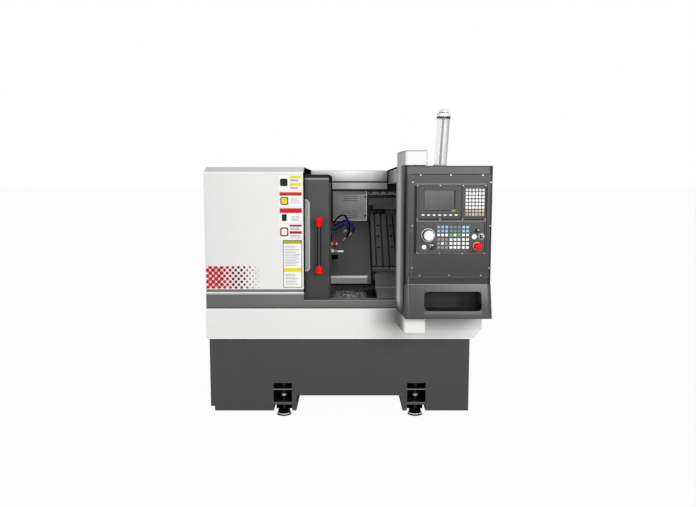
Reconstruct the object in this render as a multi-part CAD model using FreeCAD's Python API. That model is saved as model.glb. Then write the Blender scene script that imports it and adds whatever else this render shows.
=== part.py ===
import FreeCAD
import Part
import math
import os

from FreeCAD import Placement, Rotation, Vector

# CNC turning lathe with a slant bed, one source for all its pieces, in millimetres.
# The pieces are modelled from the front plane of the left cover: y = 0 there, +y runs to the
# back, +x to the right of someone standing at the door, and z = 0 is the floor.
# At the end the whole machine is set with the middle of its footprint on the origin.

# ---- driving dimensions -------------------------------------------------------------------

# overall levels and widths
body_width = 1718.0          # across the white enclosure
base_bottom = 50.0           # floor to the underside of the base
base_top = 524.0             # top of the dark base, where the apron starts
apron_top = 716.0            # top of the white apron
roof_z = 1593.0              # top of the enclosure
body_back = 935.0            # inner face of the rear wall
sheet = 3.0                  # folded sheet metal
play = 0.3                   # assembly clearance between loose faces
running = 0.05               # radial clearance of a shaft in its bore

# base
base_inset_left = 10.5
base_inset_right = 67.0
base_front = 20.0
base_rear = 930.0
corner_step = 25.0           # raised strip at the left end of the base
corner_step_rise = 30.0
fork_left = -304.0           # fork notch under the base
fork_right = 358.0
fork_flare = 14.0
fork_height = 99.0

# levelling feet
foot_x = (-390.0, 460.0)
foot_inset = 85.0            # foot centre behind the face of the base
foot_bay_width = 118.0
foot_bay_depth = 170.0
pad_bay_height = 39.0        # open space over each pad
flange_thickness = 16.0      # between pad bay and bolt window
bolt_window_height = 125.0
shelf_drop = 38.0            # shelf below the top of the window
shelf_thickness = 5.0
pad_radius = 47.0
pad_rim = 10.0
pad_cup_radius = 40.0
pad_height = 36.0
stud_radius = 10.0
stud_clearance = 1.0
nut_across = 30.0
nut_height = 16.0
stud_above_nut = 12.0
low_nut_gap = 18.0           # lower nut above the flange

# apron and sill
apron_proud = 15.0           # apron in front of the cover
apron_beam = 35.0            # depth of its front beam
apron_left_wall = 39.0
apron_right_wall = 69.0
apron_cut_x = 53.0           # cut corner at the lower right
apron_cut_z = 66.0
sill_proud = 8.0
sill_top = 768.0
band_top = 803.0             # band under the left cover
track_front = 34.0           # door channel
track_back = 66.0
track_wall = 6.0
track_drop = 10.8            # channel floor below the top of the sill

# covers
cover_right_edge = -250.0    # left cover ends here
opening_right = 325.0        # right cover starts here
ledge_height = 14.0
recess_height = 18.0
recess_depth = 12.0
bevel_depth = 90.0
bevel_height = 35.0
roof_lip = 34.0
fascia_height = 103.0
jamb_depth = 72.0
rail_front = 885.0           # header rail at the back
rail_top = 1585.0
rail_bottom = 1448.0
groove_z = 1499.0
groove_height = 10.5
groove_depth = 12.0
strip_back = 3.0
panel_sheet = 5.0

# sliding door
door_width = 623.0
door_right = -93.0
door_front = 40.0
door_depth = 20.0
door_skin = 2.5
door_lift = 0.3              # door above the channel floor
door_top = 1512.0
roof_strip = 34.0            # strip over the door, up to its roof
roof_front = 38.0
roof_gap = 3.0               # between the door roof and the rear rail
tongue = 12.0
tongue_height = 6.0
window_right = -213.0
window_width = 387.0
window_bottom = 943.0
window_margin = 119.0        # door sheet above the window
window_radius = 25.0
window_overlap = 15.0
pane_thickness = 6.0
bead_width = 9.0
bead_depth = 7.0
handle_x = -153.0
handle_bottom = 935.0
handle_top = 1285.0
rod_radius = 12.5
handle_gap = 37.5
end_radius = 24.0
end_length = 58.0
low_end_length = 48.0
end_boss_radius = 14.0

# work area walls
bulkhead_x = -93.0
bulkhead_sheet = 5.0
bulkhead_front = 80.0
bulkhead_top = 1495.0
nose_hole_play = 4.0
stop_front = 515.0           # stop block behind the spindle nose
stop_depth = 30.0
stop_bottom = 966.0
stop_height = 26.0
stop_reach = 48.0
louvre_left = -90.0
louvre_right = 168.0
louvre_bottom = 1213.0
louvre_top = 1436.0
louvre_proud = 6.0
louvre_count = 4
louvre_pitch = 16.0
louvre_length = 110.0
louvre_margin = 24.0         # plain sheet above and below the slots
screw_radius = 6.0
screw_head = 4.0
screw_side = 12.0            # screws from the edges of the plate
screw_low = 37.0
screw_high = 45.0
tray_bottom = 738.0
tray_floor = 12.0
tray_rim = 764.0
tray_wall = 4.0

# slanted bed: s runs up the slope, n stands off it
slope_angle = 37.0
bed_front = 250.0
bed_front_top = 600.0
bed_back = 925.0
bed_gap = 79.0               # bed inside the left cover
bed_clearance = 4.0          # bed and tray inside the right wall of the apron
rail_s = (380.0, 760.0)
rail_width = 34.0
rail_height = 28.0
rail_left = 20.0
screw_trough = 90.0          # trough for the long screw
trough_depth = 60.0
long_screw_radius = 16.0

# carriage and cross slide
carriage_left = 200.0
carriage_width = 175.0
saddle_low = 308.0
saddle_high = 860.0
saddle_bottom = 40.0
saddle_top = 125.0
block_length = 70.0          # bearing blocks under the saddle
block_width = 62.0
nut_offset = 47.0            # nut of the long screw, from the left side of the saddle
nut_length = 80.0
way_width = 46.0             # raised ways on the saddle
way_groove = 26.0
table_left = 190.0
table_width = 195.0
table_low = 316.0
table_length = 553.0
table_top = 180.0
slot_first = 29.0            # first slot from the left edge of the table
slot_pitch = 45.5
slot_count = 4
slot_width = 12.0
slot_neck = 14.0
slot_tee_width = 20.0
slot_tee_height = 9.0
bolt_rows = 3
bolt_row_first = 185.0
bolt_row_pitch = 118.5
bolt_across = 14.0
bolt_recess = 10.0
bolt_recess_depth = 12.0
cross_screw_radius = 12.0
cross_screw_n = 98.0
screw_inset = 12.0           # start of the short screw inside the saddle
nut_housing = 34.0           # nut housing under the table
housing_start = 250.0
housing_length = 90.0
cover_level = 80.0           # way covers above the bed
cover_gap = 3.0
fixed_left_length = 253.0    # fixed way covers at both ends of the travel
fixed_right_length = 236.0
moving_left_length = 190.0   # sheets that travel with the carriage
moving_right_length = 295.0
cover_low_y = 450.0
cover_lip = 47.0
knee_y = 330.0               # fold of the sheet below the cross slide
knee_z = 795.0
toe_y = 80.0                 # its front edge, over the rim of the tray
toe_gap = 4.0
front_inset = 10.0           # left edge of this sheet inside the saddle
drive_bottom_s = 860.0
drive_front = 868.0
drive_back = 922.0
drive_wall = 12.0
drive_top = 1407.0
drive_floor = 1306.0
drive_overhang = 22.0

# spindle
spindle_y = 450.0
spindle_z = 1026.0
nose_radius = 65.0
nose_face = -88.0
nose_length = 30.0
journal_radius = 40.0
tail_radius = 30.0
spindle_bore = 26.0
spindle_tail = -650.0
headstock_left = -540.0
headstock_right = -118.0
headstock_top = 112.0        # above the spindle axis
headstock_low_y = 285.0
headstock_back_y = 640.0
rib_first = 90.0             # grooves across the top of the headstock
rib_pitch = 100.0
rib_count = 3
rib_width = 40.0
rib_depth = 18.0
rib_reach = 110.0
chuck_ring_radius = 19.0
chuck_ring_length = 16.0
collet_radius = 13.0
collet_reach = 41.0
bar_radius = 7.5
bar_reach = 82.0
bar_tail = 180.0
bar_play = 0.02
pulley_width = 40.0
pulley_left = -604.0
spindle_pulley_radius = 72.0
motor_pulley_radius = 46.0
flange_over = 5.0
belt_thickness = 5.0
motor_y = 715.0
motor_z = 1150.0
motor_radius = 88.0
motor_length = 300.0
motor_shaft_radius = 16.0

# coolant
hose_radius = 9.0
hose_neck = 6.8
hose_bore = 4.5
upper_bead_count = 12
lower_bead_count = 9
barrel_share = 0.26          # share of a bead taken by each of its two cones
line_radius = 5.0
valve_y = 520.0
valve_z = 1071.0
valve_body_radius = 14.0
valve_body_length = 13.0
knob_radius = 21.0
knob_length = 21.0
knob_lobes = 6
manifold_z = 1168.0
nozzle_length = 30.0
nozzle_tip_radius = 3.2
nozzle_sleeve = 12.0
manifold_depth = 4.0         # manifold plate on the bulkhead
manifold_gap = 10.0          # bulkhead to the start of the hoses
manifold_below = 28.0
manifold_above = 52.0
manifold_side = 20.0
union_length = 9.0
upper_hose_y = 560.0
lower_hose_y = 535.0
line_y = 584.0
# corners of the three routes as (beyond the manifold, height), and the bend at each inner one
upper_route = [(0, 1196), (48, 1216), (84, 1238), (122, 1226), (148, 1192), (148, 1164), (134, 1148)]
upper_bends = [60, 30, 40, 25, 25]
lower_route = [(0, 1163), (44, 1186), (92, 1217), (116, 1186.5), (98, 1171)]
lower_bends = [60, 20, 20]
line_route = [(0, 1210), (28, 1246), (66, 1275), (96, 1262), (122, 1196), (116, 1140), (92, 1113)]
line_bends = [40, 20, 20, 40, 40]

# control column and box
column_left = 325.0
column_right = 477.0
column_taper = 25.0
column_bottom = 623.0
column_top = 1678.0
arm_height_low = 91.0
arm_height_top = 84.0
arm_reach = 280.0
column_reach = 168.0
column_round = 16.0
pivot_x = 390.0
pivot_reach = 235.0
pivot_radius = 15.0
pivot_depth = 12.0
box_left = 350.0
box_right = 850.0
box_bottom = 717.0
box_top = 1590.0
box_slim_back = 190.0        # back of the slim end beside the column
box_deep_left = 485.0
box_back = 70.0
box_face = 280.0
box_round = 12.0
box_front_round = 24.0       # its left front corner
box_wall = 14.0
pocket_seam = 909.0
pocket_slope = 53.0
pocket_left = 463.0
pocket_right = 795.0
pocket_low = 760.0
pocket_high = 868.0
pocket_radius = 28.0
pocket_depth = 100.0
plate_left = 374.0
plate_right = 847.0
plate_bottom = 947.0
plate_top = 1543.0
plate_thickness = 3.0
unit_left = 414.0
unit_width = 400.0
unit_top = 1484.0
unit_bottom = 1281.0
unit_proud = 5.0
panel_bottom = 1086.0
panel_split = 1.0
groove_wide = 8.0
groove_thin = 2.0
groove_deep = 4.0
screen_left = 460.0
screen_right = 630.0
screen_bottom = 1337.0
screen_top = 1451.0
screen_glass = 1.5
divider_x = 672.0
divider_width = 12.0
letter_cols = 6
letter_rows = 8
letter_x = 701.0
letter_z = 1314.0
letter_pitch = 18.8
letter_row_pitch = 19.8
letter_size = 15.0
soft_keys = 7
soft_x = 453.5
soft_z = 1310.5
soft_pitch = 31.3
soft_width = 15.0
soft_height = 7.0
key_rise = 3.0
op_cols = 8
op_rows = 6
op_x = 543.4
op_z = 1125.1
op_pitch = 22.7
op_group_gap = 3.2
op_size = 15.0
dial_x = 482.5
dial_z = 1196.0
dial_radius = 38.0
dial_rim = 8.0
wheel_radius = 29.0
wheel_rise = 40.0
wheel_grip = 5.0
wheel_grooves = 8
button_rise = 9.0
start_x = 460.4
start_z = 1127.0
start_radius = 14.0
mode_x = 507.5
mode_z = 1130.0
mode_radius = 19.0
key_x = 764.0
key_z = 1222.0
key_radius = 12.0
stop_x = 746.4
stop_z = 1187.0
stop_radius = 15.5
feed_x = 787.6
feed_z = 1188.0
feed_radius = 20.0
knob_rise = 18.0
estop_x = 763.0
estop_z = 1133.0
estop_collar_radius = 23.0
estop_collar_rise = 9.0
estop_cap_radius = 20.5
estop_reach = 60.0
estop_travel = 6.0

# signal tower
tower_x = 613.0
tower_lean = 3.6             # degrees towards the right
tower_y = 200.0
tower_radius = 42.0
tower_wall = 3.0
tower_height = 293.0
tower_foot = 16.0
tower_pole = 8.0
tower_rim = 44.0             # stepped cap over the tube
tower_cap_side = 28.0
tower_cap_height = 63.0

# electrical cabinet on the back
cabinet_left = -600.0
cabinet_right = 500.0
cabinet_bottom = 560.0
cabinet_top = 1480.0
cabinet_back = 1170.0
cabinet_wall = 4.0
cabinet_door = 18.0
hinge_offset = 7.0
hinge_radius = 6.0
hinge_pin = 3.5
hinge_length = 90.0
latch_x = 440.0
latch_rise = 30.0
vent_left = -200.0           # two rows of slots in the cabinet door
vent_right = 100.0
vent_low = 90.0
vent_high = 250.0
vent_count = 6
vent_pitch = 26.0
vent_height = 6.0

# ---- sizes that follow from them ------------------------------------------------------------

half = body_width / 2
back_outside = body_back + panel_sheet
front_end = -(box_face + pocket_slope)
rear_end = cabinet_back + cabinet_door + latch_rise
middle_y = (front_end + rear_end) / 2
slope_sin = math.sin(math.radians(slope_angle))
slope_cos = math.cos(math.radians(slope_angle))
base_left = -half + base_inset_left
base_right = half - base_inset_right
face_plane = -(box_face + plate_thickness)
table_right = table_left + table_width
cross_screw_start = saddle_low + screw_inset
carriage_right = carriage_left + carriage_width
door_left = door_right - door_width
track_floor = sill_top - track_drop
door_bottom = track_floor + door_lift
roof_reach = rail_front - roof_gap
window_height = door_top - window_margin - window_bottom
bed_left = -half + bed_gap
bed_right = half - apron_right_wall - bed_clearance
tray_right = bed_right
tray_front = track_back + track_wall + play


# ---- small tools ----------------------------------------------------------------------------

def block(x0, x1, y0, y1, z0, z1):
    return Part.makeBox(x1 - x0, y1 - y0, z1 - z0, Vector(x0, y0, z0))


def face_of(points):
    return Part.Face(Part.makePolygon(points + points[:1]))


def along_x(outline, x0, x1):
    """An outline of (y, z) points, drawn out from x0 to x1."""
    return face_of([Vector(x0, y, z) for y, z in outline]).extrude(Vector(x1 - x0, 0, 0))


def along_y(outline, y0, y1):
    return face_of([Vector(x, y0, z) for x, z in outline]).extrude(Vector(0, y1 - y0, 0))


def along_z(outline, z0, z1):
    return face_of([Vector(x, y, z0) for x, y in outline]).extrude(Vector(0, 0, z1 - z0))


def rod(centre, direction, radius, length):
    return Part.makeCylinder(radius, length, Vector(*centre), Vector(*direction))


def turned(profile, centre, direction):
    """A turned piece: (along, radius) points about an axis through centre."""
    outline = [Vector(radius, 0, along) for along, radius in profile]
    ends = [Vector(0, 0, profile[-1][0]), Vector(0, 0, profile[0][0])]
    solid = face_of(outline + [p for p in ends if p not in outline])
    solid = solid.revolve(Vector(0, 0, 0), Vector(0, 0, 1), 360)
    solid.Placement = Placement(Vector(*centre), Rotation(Vector(0, 0, 1), Vector(*direction)))
    return solid


def rounded_plate(x0, x1, z0, z1, radius, y0, y1):
    """A plate with rounded corners, standing in the x-z plane."""
    plate = block(x0, x1, y0, y1, z0, z1)
    corners = [e for e in plate.Edges if abs(e.tangentAt(e.FirstParameter).y) > 0.99]
    return plate.makeFillet(radius, corners)


def prism(centre, across, z0, z1, sides=6):
    """An upright hexagon, given by its width across the flats."""
    reach = across / 2 / math.cos(math.pi / sides)
    turns = [2 * math.pi * k / sides for k in range(sides)]
    outline = [(centre[0] + reach * math.cos(t), centre[1] + reach * math.sin(t)) for t in turns]
    return along_z(outline, z0, z1)


def on_slope(shape):
    """Sets a shape drawn in (x, s, n) on the slanted bed."""
    placed = shape.copy()
    seat = Placement(Vector(0, bed_front, bed_front_top), Rotation(Vector(1, 0, 0), slope_angle))
    placed.Placement = seat.multiply(placed.Placement)
    return placed


def slope_yz(s, n):
    y = bed_front + s * slope_cos - n * slope_sin
    z = bed_front_top + s * slope_sin + n * slope_cos
    return y, z


def slope_s(y, n):
    return (y - bed_front + n * slope_sin) / slope_cos


def join(shapes):
    first, rest = shapes[0], shapes[1:]
    return first.fuse(rest).removeSplitter() if rest else first


def group(shapes):
    solids = [solid for shape in shapes for solid in shape.Solids]
    return Part.makeCompound(solids)


def save(name, shape):
    placed = shape.copy()
    placed.translate(Vector(0, -middle_y, 0))
    placed.exportStep("parts/%s.step" % name)
    print("%-20s %2d solids %10.0f mm3" % (name, len(placed.Solids), placed.Volume))


# ---- base, feet and apron ---------------------------------------------------------------------

def foot_places():
    front = base_front + foot_inset
    rear = base_rear - foot_inset
    return [(x, y) for x in foot_x for y in (front, rear)]


window_bottom_z = base_bottom + pad_bay_height + flange_thickness
window_top_z = window_bottom_z + bolt_window_height
shelf_top_z = window_top_z - shelf_drop
shelf_bottom_z = shelf_top_z - shelf_thickness


def base_cabinet():
    outline = [(base_left, base_bottom + corner_step_rise),
               (base_left + corner_step, base_bottom + corner_step_rise),
               (base_left + corner_step, base_bottom),
               (fork_left, base_bottom), (fork_left, base_bottom + fork_height),
               (fork_right, base_bottom + fork_height), (fork_right + fork_flare, base_bottom),
               (base_right, base_bottom), (base_right, base_top), (base_left, base_top)]
    body = along_y(outline, base_front, base_rear)
    cuts = []
    for x in foot_x:
        left, right = x - foot_bay_width / 2, x + foot_bay_width / 2
        spans = ((base_front - 1, base_front + foot_bay_depth),
                 (base_rear - foot_bay_depth, base_rear + 1))
        for near, far in spans:
            cuts.append(block(left, right, near, far, base_bottom - 1, base_bottom + pad_bay_height))
            cuts.append(block(left, right, near, far, window_bottom_z, shelf_bottom_z))
            cuts.append(block(left, right, near, far, shelf_top_z, window_top_z))
    for x, y in foot_places():
        hole = stud_radius + stud_clearance
        cuts.append(rod((x, y, base_bottom), (0, 0, 1), hole, shelf_top_z - base_bottom))
    return body.cut(cuts)


def levelling_pads():
    profile = [(0, pad_radius), (pad_rim, pad_radius - 3), (pad_rim, pad_cup_radius),
               (pad_height - 6, pad_cup_radius - 2), (pad_height, pad_cup_radius - 9),
               (pad_height, 0)]
    return [turned(profile, (x, y, 0), (0, 0, 1)) for x, y in foot_places()]


def levelling_bolts():
    top = shelf_top_z + nut_height + stud_above_nut
    low_nut = window_bottom_z + low_nut_gap
    bolts = []
    for x, y in foot_places():
        stud = rod((x, y, pad_height), (0, 0, 1), stud_radius, top - pad_height)
        nuts = [prism((x, y), nut_across, shelf_top_z, shelf_top_z + nut_height),
                prism((x, y), nut_across, low_nut, low_nut + nut_height)]
        bolts.append(join([stud] + nuts))
    return bolts


def apron():
    outline = [(-half, base_top), (half - apron_cut_x, base_top), (half, base_top + apron_cut_z),
               (half, apron_top), (-half, apron_top)]
    body = along_y(outline, -apron_proud, body_back)
    inside = block(-half + apron_left_wall, half - apron_right_wall,
                   apron_beam - apron_proud, body_back + 1, base_top - 1, apron_top + 1)
    front_edge = [e for e in body.Edges if abs(e.CenterOfMass.y + apron_proud) < 0.01
                  and abs(e.CenterOfMass.z - apron_top) < 0.01]
    return body.makeFillet(6, front_edge).cut(inside)


def sill_band():
    channel = [(track_front, track_floor), (track_back, track_floor), (track_back, sill_top),
               (track_back + track_wall, sill_top), (track_back + track_wall, apron_top),
               (-sill_proud, apron_top)]
    low = [(-sill_proud, sill_top), (track_front, sill_top)] + channel
    high = [(-sill_proud, band_top), (track_front, band_top)] + channel
    return join([along_x(high, -half + sheet, cover_right_edge),
                 along_x(low, cover_right_edge, opening_right - play)])


# ---- enclosure -------------------------------------------------------------------------------

bevel_start = roof_z - bevel_height


def roof_profile(front_foot):
    """The folded front and roof of a cover, one sheet thick."""
    inner_step = sheet * bevel_height / bevel_depth
    return ([(0, bevel_start), (bevel_depth, roof_z), (body_back, roof_z),
             (body_back, roof_z - sheet), (bevel_depth + inner_step, roof_z - sheet),
             (sheet, bevel_start - sheet + inner_step)] + front_foot)


def side_wall(x0, x1, bottom):
    return along_x([(0, bottom), (0, bevel_start), (bevel_depth, roof_z), (body_back, roof_z),
                    (body_back, bottom)], x0, x1)


def left_cover():
    ledge_top = band_top + ledge_height
    face_foot = ledge_top + recess_height
    foot = [(sheet, face_foot + sheet), (recess_depth + sheet, face_foot + sheet),
            (recess_depth + sheet, band_top), (-sill_proud, band_top), (-sill_proud, ledge_top),
            (recess_depth, ledge_top), (recess_depth, face_foot), (0, face_foot)]
    skin = along_x(roof_profile(foot), -half, cover_right_edge)
    side = side_wall(-half, -half + sheet, apron_top)
    lip = block(cover_right_edge - sheet, cover_right_edge, bevel_depth, rail_front - 1,
                roof_z - roof_lip, roof_z - sheet)
    return join([skin, side, lip])


def right_cover():
    skin = along_x(roof_profile([(sheet, apron_top), (0, apron_top)]), opening_right, half)
    side = side_wall(half - sheet, half, apron_top)
    fascia = block(opening_right, opening_right + sheet, bevel_depth, body_back,
                   roof_z - fascia_height, roof_z - sheet)
    jamb = block(opening_right, opening_right + sheet, sheet, jamb_depth,
                 apron_top, bevel_start - sheet)
    return join([skin, side, fascia, jamb])


def rear_rail():
    outline = [(rail_front, rail_top), (body_back, rail_top), (body_back, rail_bottom),
               (rail_front + strip_back, rail_bottom), (rail_front + strip_back, groove_z),
               (rail_front + groove_depth, groove_z),
               (rail_front + groove_depth, groove_z + groove_height),
               (rail_front, groove_z + groove_height)]
    return along_x(outline, -half + sheet, opening_right)


def back_panel():
    return block(-half, half, body_back, back_outside, base_top, roof_z)


def bulkhead():
    low_y, low_z = slope_yz(slope_s(bed_back, 0), 2)
    start = tray_rim - 16
    foot_y = bed_front + (start - 2 / slope_cos - bed_front_top) / math.tan(math.radians(slope_angle))
    outline = [(bulkhead_front, start), (bulkhead_front, bulkhead_top),
               (rail_front - 2, bulkhead_top), (rail_front - 2, rail_bottom - 2),
               (body_back, rail_bottom - 2), (body_back, low_z), (low_y, low_z), (foot_y, start)]
    wall = along_x(outline, bulkhead_x - bulkhead_sheet, bulkhead_x)
    hole = rod((bulkhead_x - 20, spindle_y, spindle_z), (1, 0, 0), nose_radius + nose_hole_play, 40)
    stop = block(bulkhead_x, bulkhead_x + stop_reach, stop_front, stop_front + stop_depth,
                 stop_bottom, stop_bottom + stop_height)
    return join([wall.cut(hole), stop])


def louvre_plate():
    front = body_back - louvre_proud
    plate = block(louvre_left, louvre_right, front, body_back, louvre_bottom, louvre_top)
    middle = (louvre_left + louvre_right) / 2
    cuts = []
    upper_row = louvre_top - louvre_margin - (louvre_count - 1) * louvre_pitch
    for row_start in (louvre_bottom + louvre_margin, upper_row):
        for k in range(louvre_count):
            z = row_start + k * louvre_pitch
            cuts.append(block(middle - louvre_length / 2, middle + louvre_length / 2,
                              front - 1, front + 2, z - 1.5, z + 1.5))
    heads = [rod((x, front + 1, z), (0, -1, 0), screw_radius, screw_head + 1)
             for x in (louvre_left + screw_side, louvre_right - screw_side)
             for z in (louvre_bottom + screw_low, louvre_top - screw_high)]
    return join([plate.cut(cuts)] + heads)


def chip_tray():
    """The tray hangs on the back wall of the door channel and rests on the foot of the bed."""
    left = bulkhead_x + play
    back = bed_front + (tray_bottom - play - bed_front_top) * slope_cos / slope_sin
    tray = block(left, tray_right, tray_front, back, tray_bottom, tray_rim)
    inside = block(left + tray_wall, tray_right - tray_wall, tray_front + tray_wall,
                   back - tray_wall, tray_bottom + tray_floor, tray_rim + 1)
    return tray.cut(inside)


# ---- sliding door ----------------------------------------------------------------------------

window_left = window_right - window_width
window_top = window_bottom + window_height


def door_panel():
    pan = block(door_left, door_right, door_front, door_front + door_depth, door_bottom, door_top)
    pan = pan.makeFillet(2, [e for e in pan.Edges if abs(e.CenterOfMass.y - door_front) < 0.01])
    hollow = block(door_left + door_skin, door_right - door_skin, door_front + door_skin,
                   door_front + door_depth + 1, door_bottom + door_skin, door_top - door_skin)
    window = rounded_plate(window_left, window_right, window_bottom, window_top, window_radius,
                           door_front - 1, door_front + door_skin + 1)
    return pan.cut([hollow, window])


def door_window():
    back = door_front + door_skin
    return rounded_plate(window_left - window_overlap, window_right + window_overlap,
                         window_bottom - window_overlap, window_top + window_overlap,
                         window_radius, back, back + pane_thickness)


def window_bead():
    back = door_front + door_skin
    front = back - bead_depth
    outer = rounded_plate(window_left + play, window_right - play, window_bottom + play,
                          window_top - play, window_radius - play, front, back)
    inner = rounded_plate(window_left + bead_width, window_right - bead_width,
                          window_bottom + bead_width, window_top - bead_width,
                          window_radius - bead_width, front - 1, back + 1)
    return outer.cut(inner)


def door_roof():
    top = door_top + roof_strip
    tongue_z = groove_z + play
    outline = [(roof_front, door_top), (roof_front, top), (roof_reach, top),
               (roof_reach, tongue_z + tongue_height), (roof_reach + tongue, tongue_z + tongue_height),
               (roof_reach + tongue, tongue_z), (roof_reach - sheet, tongue_z),
               (roof_reach - sheet, top - sheet), (roof_front + sheet, top - sheet),
               (roof_front + sheet, door_top)]
    return along_x(outline, door_left, door_right)


handle_y = door_front - handle_gap - rod_radius
rod_low = handle_bottom + low_end_length
rod_high = handle_top - end_length


def handle_rod():
    return rod((handle_x, handle_y, rod_low), (0, 0, 1), rod_radius, rod_high - rod_low)


def handle_ends():
    neck = rod_radius + 2
    upper = [(0, neck), (end_length * 0.75, end_radius), (end_length - 5, end_radius),
             (end_length, end_radius - 5), (end_length, 0)]
    lower = [(0, end_radius - 8), (8, end_radius), (low_end_length * 0.55, end_radius),
             (low_end_length, neck), (low_end_length, 0)]
    ends = []
    for profile, foot, boss in ((upper, rod_high, rod_high + end_length * 0.62),
                                (lower, handle_bottom, handle_bottom + low_end_length * 0.4)):
        head = turned(profile, (handle_x, handle_y, foot), (0, 0, 1))
        stem = rod((handle_x, handle_y, boss), (0, 1, 0), end_boss_radius, door_front - handle_y)
        ends.append(join([head, stem]))
    return ends


# ---- bed, headstock and spindle ---------------------------------------------------------------

bed_s_end = slope_s(bed_back, 0)
trough_s = sum(rail_s) / 2
long_screw_n = -trough_depth / 2 + 4


def z_guide_rails():
    rails = []
    for s in rail_s:
        half_rail = rail_width / 2
        outline = [(s - half_rail, 0), (s + half_rail, 0), (s + half_rail, 9),
                   (s + half_rail - 5, 14), (s + half_rail - 5, 20), (s + half_rail, rail_height),
                   (s - half_rail, rail_height), (s - half_rail + 5, 20),
                   (s - half_rail + 5, 14), (s - half_rail, 9)]
        rails.append(on_slope(along_x(outline, rail_left, bed_right - 20)))
    return rails


def z_ballscrew():
    left, right = rail_left - 30, bed_right - 90
    profile = [(0, long_screw_radius - 5), (28, long_screw_radius - 5), (28, long_screw_radius),
               (right - left - 50, long_screw_radius), (right - left - 50, long_screw_radius - 4),
               (right - left, long_screw_radius - 4), (right - left, 0)]
    return on_slope(turned(profile, (left, trough_s, long_screw_n), (1, 0, 0)))


def screw_bearings():
    """The two bearing blocks of the long screw, and its motor plate, in the trough of the bed."""
    side, floor = screw_trough, -trough_depth
    blocks = []
    for x0, x1, radius in ((rail_left - 30, rail_left - 2, long_screw_radius - 5),
                           (bed_right - 138, bed_right - 100, long_screw_radius - 4)):
        shape = block(x0, x1, trough_s - side / 2, trough_s + side / 2, floor, 22)
        bore = rod((x0 - 1, trough_s, long_screw_n), (1, 0, 0), radius + running, x1 - x0 + 2)
        blocks.append(on_slope(shape.cut(bore)))
    motor = block(bed_right - 88, bed_right - 62, trough_s - side / 2, trough_s + side / 2, floor, 50)
    return blocks + [on_slope(motor)]


def slant_bed():
    outline = [(bed_front, base_top), (bed_front, bed_front_top), slope_yz(bed_s_end, 0),
               (bed_back, base_top)]
    body = along_x(outline, bed_left, bed_right)
    trough = on_slope(block(rail_left - 60, bed_right - 60, trough_s - screw_trough / 2,
                            trough_s + screw_trough / 2, -trough_depth, 1))
    return join([body.cut(trough)] + screw_bearings())


def headstock():
    low = headstock_low_y, bed_front_top + (headstock_low_y - bed_front) * slope_sin / slope_cos
    back = headstock_back_y, bed_front_top + (headstock_back_y - bed_front) * slope_sin / slope_cos
    top = spindle_z + headstock_top
    outline = [low, (spindle_y - 125, spindle_z - 40), (spindle_y - 125, top - 60),
               (spindle_y - 65, top), (spindle_y + 65, top), (spindle_y + 125, top - 60), back]
    body = along_x(outline, headstock_left, headstock_right)
    bore = rod((headstock_left - 1, spindle_y, spindle_z), (1, 0, 0), journal_radius + running,
               headstock_right - headstock_left + 2)
    starts = [headstock_left + rib_first + k * rib_pitch for k in range(rib_count)]
    ribs = [block(x, x + rib_width, spindle_y - rib_reach, spindle_y + rib_reach,
                  top - rib_depth, top + 1) for x in starts]
    return body.cut([bore] + ribs)


def spindle():
    start = spindle_tail
    nose_back = nose_face - nose_length
    profile = [(0, tail_radius), (headstock_left - 4 - start, tail_radius),
               (headstock_left - 4 - start, journal_radius), (nose_back - start, journal_radius),
               (nose_back - start, nose_radius), (nose_face - 4 - start, nose_radius),
               (nose_face - start, nose_radius - 4), (nose_face - start, collet_radius),
               (nose_face + collet_reach - 3 - start, collet_radius),
               (nose_face + collet_reach - start, collet_radius - 3),
               (nose_face + collet_reach - start, 0)]
    shaft = turned(profile, (start, spindle_y, spindle_z), (1, 0, 0))
    collet_back = nose_face - 40
    draw_bore = rod((start - 1, spindle_y, spindle_z), (1, 0, 0), spindle_bore, collet_back - start + 1)
    grip_bore = rod((collet_back - 1, spindle_y, spindle_z), (1, 0, 0), bar_radius + bar_play,
                    collet_reach + 50)
    return shaft.cut([draw_bore, grip_bore])


def chuck_ring():
    ring = turned([(0, chuck_ring_radius), (chuck_ring_length - 2, chuck_ring_radius),
                   (chuck_ring_length, chuck_ring_radius - 2), (chuck_ring_length, 0)],
                  (nose_face, spindle_y, spindle_z), (1, 0, 0))
    bore = rod((nose_face - 1, spindle_y, spindle_z), (1, 0, 0), collet_radius + bar_play,
               chuck_ring_length + 2)
    return ring.cut(bore)


def bar_stock():
    left = nose_face - bar_tail
    right = nose_face + bar_reach
    return turned([(0, bar_radius - 1), (1, bar_radius), (right - left - 1, bar_radius),
                   (right - left, bar_radius - 1), (right - left, 0)],
                  (left, spindle_y, spindle_z), (1, 0, 0))


def pulley(radius, bore, y, z):
    profile = [(0, radius + flange_over), (4, radius + flange_over), (4, radius),
               (pulley_width - 4, radius), (pulley_width - 4, radius + flange_over),
               (pulley_width, radius + flange_over), (pulley_width, 0)]
    wheel = turned(profile, (pulley_left, y, z), (1, 0, 0))
    if bore:
        wheel = wheel.cut(rod((pulley_left - 1, y, z), (1, 0, 0), bore, pulley_width + 2))
    return wheel


def spindle_pulley():
    return pulley(spindle_pulley_radius, tail_radius, spindle_y, spindle_z)


def motor_pulley():
    shaft = rod((pulley_left + pulley_width, motor_y, motor_z), (1, 0, 0), motor_shaft_radius, 54)
    return join([pulley(motor_pulley_radius, 0, motor_y, motor_z), shaft])


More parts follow.
